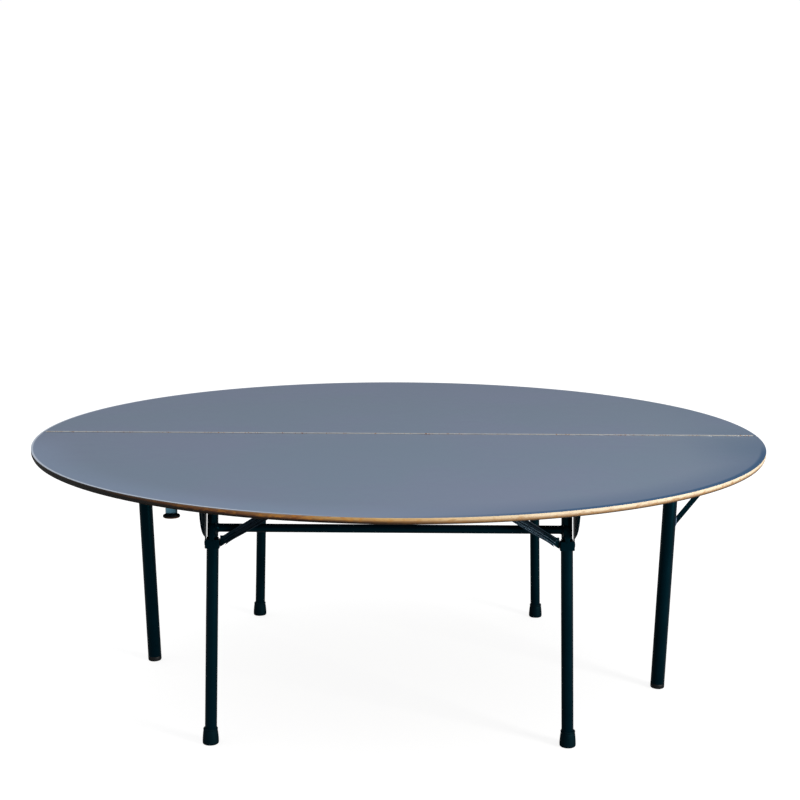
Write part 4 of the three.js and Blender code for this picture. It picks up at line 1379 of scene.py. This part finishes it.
    def make_stay(self) -> None:
        """The channel stay with its toe at the knee and its screwed foot on the underside."""
        out = self.side.value
        inward = np.array([-out * math.cos(self.stay_yaw), -self.half.value * math.sin(self.stay_yaw), 0.0])
        rim = np.cross(inward, (0, 0, 1.0))
        rim *= -self.half.value * np.sign(rim[1])
        knee = self.pivot + np.array(
            [-out * (self.cheek_inside + self.cheek + 0.6 * MM), -self.half.value * 7.6 * MM, 0]
        )
        plane = Placement(knee, np.array([inward, (0, 0, 1.0), rim]))
        slope = self.stay_slope
        depth = self.stay_depth / math.cos(slope)
        rise = math.tan(slope)
        mount = self.mount - knee[2]

        def middle_height(run: np.ndarray) -> np.ndarray:
            """The height of the channel's middle line along its run."""
            return self.stay_start_height + (run - self.stay_start) * rise - depth / 2

        last = self.stay_start + (mount - self.stay_start_height + depth / 2) / rise
        run = np.concatenate([np.linspace(13 * MM, 40 * MM, 7), np.linspace(50 * MM, last, 12)])
        droop = 3.2 * MM * np.clip((40 * MM - run) / (27 * MM), 0, 1) ** 2
        path = np.column_stack([run, middle_height(run) - droop, np.zeros(len(run))])
        up = np.array([-math.sin(slope), math.cos(slope), 0])
        scale = 0.82 + 0.18 * np.clip((run - 13 * MM) / (60 * MM), 0, 1)
        channel = swept(self.stay_section(), path, up, np.array([0, 0, 1.0]), scale)
        cut = channel.points[:, 1] > mount - 2 * MM
        channel.points[cut, 1] = mount - 2 * MM
        toe = np.array([
            (1.5, 22), (9, 22), (16, 26.2), (40, 42), (44, 38), (40, 20), (30, 13.5), (20, 5),
            (11, -2.5), (5, -6.5), (1.5, -8),
        ]) * MM
        toe_plate = slab(toe, 0.2 * MM, 2.2 * MM)
        foot_middle = -2 * MM + (self.stay_start + (mount - self.stay_start_height) / rise) + 38 * MM
        foot_outline = rounded_rectangle(*self.stay_plate, 7 * MM)
        base = Placement(knee, np.array([inward, rim, (0, 0, 1.0)]))
        foot_plate = slab(foot_outline + (foot_middle, 7 * MM), mount - 3 * MM, mount)
        self.shop.piece(
            self.node("ribbed_stay"), channel.placed(plane), ENAMEL_WORN, self.half.body,
            (self.node("channel_stay"),), crease=50,
        )
        self.shop.piece(
            self.node("stay_toe_and_foot"), [toe_plate.placed(plane), foot_plate.placed(base)],
            ENAMEL, self.half.body, bevel=0.4 * MM,
        )
        along, across = self.stay_plate_screws
        spots = np.array(
            [(foot_middle + dx * along, 7 * MM + dy * across, 0) for dx in (-1, 1) for dy in (-1, 1)]
        )
        places = [(x, y) for x, y, _ in base.apply(spots)]
        self.shop.piece(
            self.node("stay_screws"), screw_heads(places, self.mount - 3 * MM), ZINC, self.half.body,
        )


@dataclass
class Crossbar:
    """The tube between the two fixed tubes of a half, spread and beaded at its welds."""

    half: Half
    shop: Workshop
    radius: float = 11.2 * MM
    fillet: float = 9.5 * MM
    start: float = 2.6 * MM

    def build(self) -> None:
        """Makes the bar. Near each end it spreads as a round fillet: r - root(r^2 - (r - d)^2)."""
        low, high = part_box(f"{self.half.label}_crossbar")
        length = high.x - low.x
        near = np.concatenate([[-5 * MM], np.linspace(self.start, self.start + self.fillet, 14)])
        places = np.concatenate([near, np.linspace(30 * MM, length - 30 * MM, 9), length - near[::-1]])
        distance = np.clip(np.minimum(places, length - places), 0, None)
        left = np.clip(self.fillet - np.clip(distance - self.start, 0, None), 0, self.fillet)
        spread = self.fillet - np.sqrt(self.fillet ** 2 - left ** 2)
        bead = 0.45 * MM * np.exp(-((distance - 4 * MM) / (1.4 * MM)) ** 2)
        bar = revolved(np.stack([self.radius + spread + bead, places], 1), 48)
        middle = ((low.y + high.y) / 2, (low.z + high.z) / 2)
        placed = bar.placed(Placement.at((low.x, *middle), [(0, 1, 0), (0, 0, 1), (1, 0, 0)]))
        self.shop.piece(
            f"{self.half.label}_cross_tube", placed, ENAMEL, self.half.body,
            (f"{self.half.label}_crossbar",), crease=60,
        )


@dataclass
class SideLeg:
    """A side leg with its bracket, glide, clip, brace and rail.

    The leg's own frame has X towards the rim's end, Y towards the seam and Z up the tube, with
    the fold's axis through its origin.
    """

    half: Half
    shop: Workshop
    tube: float = 20.4 * MM
    lean: float = math.radians(2.1)
    slot_half: float = 6.5 * MM
    slot_depth: float = 44 * MM
    glide_height: float = 14 * MM
    brace_offset: float = 26.5 * MM
    strap_width: float = 15.5 * MM

    def __post_init__(self) -> None:
        """Works out the leg's frame from its joints."""
        label = self.half.label
        self.turn = self.half.value
        self.pivot = np.array(JOINTS[f"{label}_side_fold"]["pos_m"], float)
        self.brace_pivot = np.array(JOINTS[f"{label}_brace_fold"]["pos_m"], float)
        up = np.array([self.turn * math.sin(self.lean), 0, math.cos(self.lean)])
        seam = np.array([0, self.turn, 0.0])
        out = np.array([self.turn * math.cos(self.lean), 0, -math.sin(self.lean)])
        self.frame = Placement(self.pivot, np.array([out, seam, up]))
        self.length = self.pivot[2] / math.cos(self.lean)
        down = self.brace_pivot - self.pivot
        self.pin_out = float(down @ out)
        self.pin_height = float(down @ up)
        self.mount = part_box(f"{label}_side_bracket")[1].z
        self.leg_body = f"{label}_side_leg"

    def node(self, name: str) -> str:
        """The full name of one of this side leg's nodes."""
        return f"{self.half.label}_{name}"

    def across(self, beside: float = 0.0, height: float = 0.0) -> Placement:
        """A frame whose Z runs along the fold's axis towards the seam, at a place on the leg."""
        out, seam, up = self.frame.axes
        return Placement(self.frame.apply(np.array([beside, 0, height])), np.array([up, out, seam]))

    def build(self) -> None:
        """Makes every piece of the side leg."""
        self.make_tube()
        self.make_glide()
        self.make_bracket()
        self.make_clip()
        self.make_brace()
        self.make_rail()

    def make_tube(self) -> None:
        """The tube and the two ears of its slotted top, each rounded about the fold's axis."""
        low = -self.length + self.glide_height
        tube = rounded_bar(self.tube, low, -self.slot_depth, 0.5 * MM, 64)
        half_angle = math.acos(self.slot_half / self.tube)
        bow = np.linspace(math.pi / 2 - half_angle, math.pi / 2 + half_angle, 25)
        outline = self.tube * np.stack([np.cos(bow), np.sin(bow)], 1)
        top = np.sqrt(np.clip(self.tube ** 2 - outline[:, 0] ** 2, 0, None))
        levels = np.linspace(0, 1, 6)
        floor = -self.slot_depth - 0.5 * MM
        ear = tube_between(
            np.stack([np.column_stack([outline, floor + (top - floor) * s]) for s in levels])
        )
        other = Shell(ear.points * (-1, -1, 1), ear.quads, ear.caps)
        ring = revolved([
            (self.tube - 0.3 * MM, 0), (self.tube + 0.35 * MM, 0.6 * MM), (self.tube - 0.3 * MM, 1.6 * MM),
        ], 64, ring=True)
        rings = [Shell(ring.points + (0, 0, low + 1 * MM), ring.quads)]
        shells = [shell.placed(self.frame) for shell in (tube, ear, other, *rings)]
        self.shop.piece(
            self.node("side_tube"), shells, ENAMEL, self.leg_body, (self.node("side_leg"),), crease=50,
        )
        turn = np.radians(np.linspace(0, 90, 5))
        start = self.tube + GAP
        dome = np.stack([7.3 * MM * np.cos(turn) + 0.2 * MM, start + 0.5 * MM + 1.9 * MM * np.sin(turn)], 1)
        head = revolved(np.concatenate([[(7.5 * MM, start)], dome]), 32)
        tail = Shell(head.points * (1, 1, -1), head.quads, head.caps).turned_out()
        shank = rounded_bar(4 * MM, -start - 0.4 * MM, start + 0.4 * MM, 0.3 * MM, 24)
        shells = [shell.placed(self.across()) for shell in (head, tail, shank)]
        self.shop.piece(self.node("side_bolt_set"), shells, ZINC, self.half.body, (self.node("side_bolt"),))

    def make_glide(self) -> None:
        """The plastic glide: as wide as the tube, rounded below and cut level with the floor."""
        heights = np.array([-1.2, 0.0, 1.2, 2.6, 4.4, 7.0, 12.6, 13.2, 13.7]) * MM
        radii = np.array([16.6, 18.3, 19.5, 20.2, 20.5, 20.55, 20.55, 20.3, 19.9]) * MM
        glide = revolved(np.stack([radii, heights - self.length], 1), 64).placed(self.frame)
        glide.points[:, 2] = np.maximum(glide.points[:, 2], 0.0)
        self.shop.piece(
            self.node("leg_glide"), glide, PLASTIC, self.leg_body, (self.node("side_glide"),), crease=50,
        )

    def make_bracket(self) -> None:
        """The screwed plate and the lug between the ears."""
        centre = (self.pivot[0], self.pivot[1])
        plate = slab(rounded_rectangle(110 * MM, 84 * MM, 9 * MM) + centre, self.mount - 3 * MM, self.mount)
        rise = self.mount - 1 * MM - self.pivot[2]
        lug = np.concatenate([arc((0, 0), 17 * MM, 180, 360, 25), [(17 * MM, rise), (-17 * MM, rise)]])
        upright = Placement(self.pivot, np.array([(1.0, 0, 0), (0, 0, 1.0), (0, -1.0, 0)]))
        shells = [plate, slab(lug, -6 * MM, 6 * MM).placed(upright)]
        self.shop.piece(
            self.node("side_lug_plate"), shells, ENAMEL, self.half.body, (self.node("side_bracket"),),
            bevel=0.6 * MM,
        )
        places = [(centre[0] + dx * 43 * MM, centre[1] + dy * 30 * MM) for dx in (-1, 1) for dy in (-1, 1)]
        self.shop.piece(
            self.node("side_plate_screws"), screw_heads(places, self.mount - 3 * MM), ZINC, self.half.body,
        )

    def make_clip(self) -> None:
        """The clip: a band bent round part of the tube, a boss and the brace's pin."""
        inner = self.tube + GAP
        outer = inner + 1.8 * MM
        bands = []
        for first, low, high in ((-34, 10.6 * MM, 34.3 * MM), (25, -7 * MM, 11.6 * MM)):
            angle = np.radians(np.linspace(first, 118, 40))
            round_it = np.stack([np.cos(angle), np.sin(angle)], 1)
            band = np.concatenate([outer * round_it, inner * round_it[::-1]])
            bands.append(slab(band, self.pin_height + low, self.pin_height + high).placed(self.frame))
        boss_end = self.brace_offset - 2 * MM - GAP
        at_pin = self.across(self.pin_out, self.pin_height)
        boss = rounded_bar(6 * MM, 9 * MM, boss_end, 0.6 * MM, 32).placed(at_pin)
        self.shop.piece(
            self.node("zinc_clip"), [*bands, boss], BLUE_ZINC, self.leg_body, (self.node("brace_clip"),),
            bevel=0.3 * MM,
        )
        start = self.brace_offset + 2 * MM + GAP
        turn = np.radians(np.linspace(0, 90, 5))
        dome = np.stack([5.8 * MM * np.cos(turn) + 0.2 * MM, start + 0.4 * MM + 1.8 * MM * np.sin(turn)], 1)
        head = revolved(np.concatenate([[(6 * MM, start)], dome]), 32)
        shank = rounded_bar(3 * MM, 6 * MM, start + 0.5 * MM, 0.3 * MM, 20)
        shells = [shell.placed(at_pin) for shell in (head, shank)]
        self.shop.piece(self.node("brace_rivet"), shells, ZINC, self.leg_body, (self.node("brace_pin"),))

    def make_brace(self) -> None:
        """The strap and its sliding pin."""
        low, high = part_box(self.node("side_brace"))
        radius = self.strap_width / 2
        foot = np.array([self.brace_pivot[0], self.brace_pivot[2]])
        far_x = high.x - radius if self.turn > 0 else low.x + radius
        head = np.array([far_x, high.z - radius])
        along = head - foot
        length = float(np.hypot(*along))
        along = along / length
        x_axis = np.array([along[0], 0, along[1]])
        side_axis = np.array([-along[1], 0, along[0]])
        middle = np.array([foot[0], self.brace_pivot[1], foot[1]])
        place = Placement(middle, np.array([x_axis, side_axis, np.cross(x_axis, side_axis)]))
        outline = np.concatenate([arc((0, 0), radius, 90, 270, 21), arc((length, 0), radius, -90, 90, 21)])
        strap = slab(outline, -2 * MM, 2 * MM).placed(place)
        pin = rounded_bar(4.5 * MM, -6 * MM, 6 * MM, 0.8 * MM, 32)
        pin = Shell(pin.points + (length, 0, 0), pin.quads, pin.caps).placed(place)
        self.shop.piece(
            self.node("brace_strap"), [strap, pin], ENAMEL, self.node("side_brace"),
            (self.node("side_brace"),), bevel=0.7 * MM,
        )

    def make_rail(self) -> None:
        """The slide rail: a bent sheet carried along X, with an end stop."""
        low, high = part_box(self.node("brace_rail"))
        wall = 2 * MM
        half = 7 * MM + wall / 2
        flange = 23 * MM
        drop = self.mount - low.z
        side = np.array([
            (flange, self.mount - wall / 2), (half + 1.4 * MM, self.mount - wall / 2),
            (half + 0.4 * MM, self.mount - wall / 2 - 0.4 * MM), (half, self.mount - wall / 2 - 1.4 * MM),
            (half, self.mount - drop),
        ])
        middle = self.brace_pivot[1]
        shells = []
        for sign in (-1, 1):
            outline = thickened(side, wall) * (sign, 1)
            path = np.array([(low.x, middle, 0), (high.x, middle, 0)])
            shells.append(swept(outline, path, np.array([0, 1.0, 0]), np.array([0, 0, 1.0])))
        roof = np.array([
            (low.x, middle - half), (high.x, middle - half), (high.x, middle + half),
            (low.x, middle + half),
        ])
        shells.append(slab(roof, self.mount - 1 * MM, self.mount))
        end = high.x - wall if self.turn > 0 else low.x
        stop = np.array([
            (end, middle - half), (end + wall, middle - half), (end + wall, middle + half),
            (end, middle + half),
        ])
        shells.append(slab(stop, low.z, self.mount - 0.5 * MM))
        self.shop.piece(
            self.node("slide_rail"), shells, ENAMEL_WORN, self.half.body, (self.node("brace_rail"),),
            bevel=0.3 * MM,
        )
        places = [
            (x, middle + sign * 17 * MM) for x in (low.x + 14 * MM, high.x - 14 * MM) for sign in (-1, 1)
        ]
        self.shop.piece(
            self.node("rail_screws"), screw_heads(places, self.mount - wall), ZINC, self.half.body,
        )


@dataclass
class SpoolPost:
    """The chrome post near the rim and the skirt round its lower end."""

    half: Half
    shop: Workshop
    radius: float = 15 * MM

    def build(self) -> None:
        """Makes the post and the skirt as turned shapes."""
        label = self.half.label
        low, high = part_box(f"{label}_spool_post")
        centre = Placement.at(((low.x + high.x) / 2, (low.y + high.y) / 2, 0.0))
        curve = np.radians(np.linspace(0, 90, 6))
        sweep = np.stack(
            [self.radius + 5 * MM * (1 - np.cos(curve)), high.z - 8 * MM + 5 * MM * np.sin(curve)], 1,
        )
        profile = np.concatenate([
            [
                (self.radius - 1.2 * MM, low.z - GAP), (self.radius, low.z + 0.8 * MM),
                (self.radius, high.z - 9 * MM),
            ], sweep[1:],
            [(26.2 * MM, high.z - 3 * MM), (27 * MM, high.z - 2.2 * MM), (27 * MM, high.z)],
        ])
        self.shop.piece(
            f"{label}_chrome_post", revolved(profile, 64).placed(centre), CHROME, self.half.body,
            (f"{label}_spool_post",), crease=50,
        )
        low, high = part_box(f"{label}_spool_skirt")
        turn = np.radians(np.linspace(0, 90, 6))
        bottom = np.stack([18.9 * MM + 2.6 * MM * np.sin(turn), low.z + 2.6 * MM * (1 - np.cos(turn))], 1)
        upper = np.stack(
            [21.5 * MM - 4.9 * MM * (1 - np.cos(turn)), high.z - 3.6 * MM + 3.2 * MM * np.sin(turn)], 1,
        )
        inner = [(14 * MM, low.z + 2 * MM), (15.5 * MM, low.z + 0.4 * MM), (17.5 * MM, low.z)]
        profile = np.concatenate([inner, bottom, upper, [(self.radius - 0.6 * MM, high.z)]])
        self.shop.piece(
            f"{label}_post_skirt", revolved(profile, 64).placed(centre), SKIRT, self.half.body,
            (f"{label}_spool_skirt",), crease=50,
        )


# ------------------------------------------------------------------------------------ the studio


@dataclass(frozen=True)
class Camera:
    """The camera: where it stands, where it looks and how long its lens is."""

    place: tuple = (0.0438, -4.3995, 1.5399)
    yaw: float = -0.527
    pitch: float = 9.004
    roll: float = 0.242
    lens: float = 67.39

    def build(self) -> None:
        """Sets the camera up. It looks along +Y, turned by yaw and dropped by pitch."""
        yaw, pitch, roll = (math.radians(angle) for angle in (self.yaw, self.pitch, self.roll))
        ahead = np.array(
            [math.sin(yaw) * math.cos(pitch), math.cos(yaw) * math.cos(pitch), -math.sin(pitch)]
        )
        right = np.array([math.cos(yaw), -math.sin(yaw), 0.0])
        up = np.cross(right, ahead)
        rolled_right = math.cos(roll) * right + math.sin(roll) * up
        rolled_up = -math.sin(roll) * right + math.cos(roll) * up
        data = bpy.data.cameras.new("camera")
        data.lens = self.lens
        data.sensor_width = 36.0
        data.clip_end = 200.0
        item = bpy.data.objects.new("camera", data)
        bpy.context.scene.collection.objects.link(item)
        matrix = np.eye(4)
        matrix[:3, :3] = np.stack([rolled_right, rolled_up, -ahead], 1)
        matrix[:3, 3] = self.place
        item.matrix_world = Matrix(matrix.tolist())
        bpy.context.scene.camera = item


@dataclass(frozen=True)
class Softbox:
    """A large area light that points at the table."""

    name: str
    place: tuple
    size: float
    power: float
    colour: tuple = (1.0, 1.0, 1.0)
    target: tuple = (0.0, 0.0, 0.6)

    def build(self) -> None:
        """Adds the light."""
        data = bpy.data.lights.new(self.name, "AREA")
        data.size = self.size
        data.energy = self.power
        data.color = self.colour
        item = bpy.data.objects.new(self.name, data)
        bpy.context.scene.collection.objects.link(item)
        back = np.array(self.place) - np.array(self.target)
        back = back / np.linalg.norm(back)
        side = np.cross((0.0, 0.001, 1.0), back)
        side = side / np.linalg.norm(side)
        matrix = np.eye(4)
        matrix[:3, :3] = np.stack([side, np.cross(back, side), back], 1)
        matrix[:3, 3] = self.place
        item.matrix_world = Matrix(matrix.tolist())


@dataclass(frozen=True)
class Studio:
    """The plain pale floor, the sky and the softbox.

    The sky that lights the table is a dim wall with a bright ceiling. What the eye sees of the
    wall and the floor is close to white, and colours are shown plainly, with no film curve.
    """

    wall: float = 0.22
    ceiling: float = 1.25
    backdrop: float = 1.03
    floor_shade: float = 0.4
    floor_glow: float = 0.87
    floor_seen: float = 0.3
    boxes: tuple = (
        Softbox("key_light", (5.0, -4.2, 1.75), 1.6, 300.0, (1.0, 0.98, 0.95)),
    )

    def build(self) -> None:
        """Makes the sky, the floor and the lights."""
        bpy.context.scene.view_settings.view_transform = "Standard"
        self.make_sky()
        self.make_floor()
        for box in self.boxes:
            box.build()

    def make_sky(self) -> None:
        """The strength of the sky rises smoothly from the wall to the ceiling."""
        world = bpy.data.worlds.new("studio_sky")
        world.use_nodes = True
        graph = Graph(world.node_tree)
        background = world.node_tree.nodes["Background"]
        background.inputs[0].default_value = (0.98, 0.985, 1.0, 1.0)
        way = graph.add("TexCoord").outputs["Generated"]
        rise = graph.add("SeparateXYZ", {0: way}).outputs[2]
        lit = graph.span(rise, 0.25, 0.95, self.wall, self.ceiling)
        seen = graph.add("LightPath").outputs["Is Camera Ray"]
        gap = graph.math("SUBTRACT", self.backdrop, lit)
        graph.feed(background.inputs[1], graph.math("ADD", lit, graph.math("MULTIPLY", gap, seen)))
        bpy.context.scene.world = world

    def make_floor(self) -> None:
        """A pale disc that gives back little light but looks close to white."""
        mesh = bpy.data.meshes.new("studio_floor")
        shell = revolved([(90.0, -0.02), (90.0, -0.0002)], 96)
        mesh.from_pydata(shell.points, [], shell.quads.tolist() + [cap.tolist() for cap in shell.caps])
        material = bpy.data.materials.new("pale_floor")
        material.use_nodes = True
        graph = Graph(material.node_tree)
        material.node_tree.nodes.remove(material.node_tree.nodes["Principled BSDF"])
        seen = graph.add("LightPath").outputs["Is Camera Ray"]
        shade = (self.floor_shade,) * 3 + (1.0,)
        bright = (self.floor_seen,) * 3 + (1.0,)
        diffuse = graph.add("BsdfDiffuse", {"Color": graph.mix(seen, shade, bright)})
        glow = graph.add("Emission", {"Strength": graph.math("MULTIPLY", seen, self.floor_glow)})
        both = graph.add("AddShader", {0: diffuse.outputs[0], 1: glow.outputs[0]})
        end = material.node_tree.nodes["Material Output"]
        graph.feed(end.inputs["Surface"], both.outputs[0])
        mesh.materials.append(material)
        floor = bpy.data.objects.new("studio_floor", mesh)
        bpy.context.scene.collection.objects.link(floor)


def main() -> None:
    """Builds the studio and every sub-assembly of the table, in order."""
    logging.basicConfig(level=logging.INFO, format="%(message)s")
    Camera().build()
    Studio().build()
    shop = Workshop(Paintshop())
    SeamHinge(shop).build()
    for half in Half:
        Tabletop(half, shop).build()
        Crossbar(half, shop).build()
        for side in Side:
            FrameLeg(half, side, shop).build()
        SideLeg(half, shop).build()
        SpoolPost(half, shop).build()


if __name__ == "__main__":
    main()
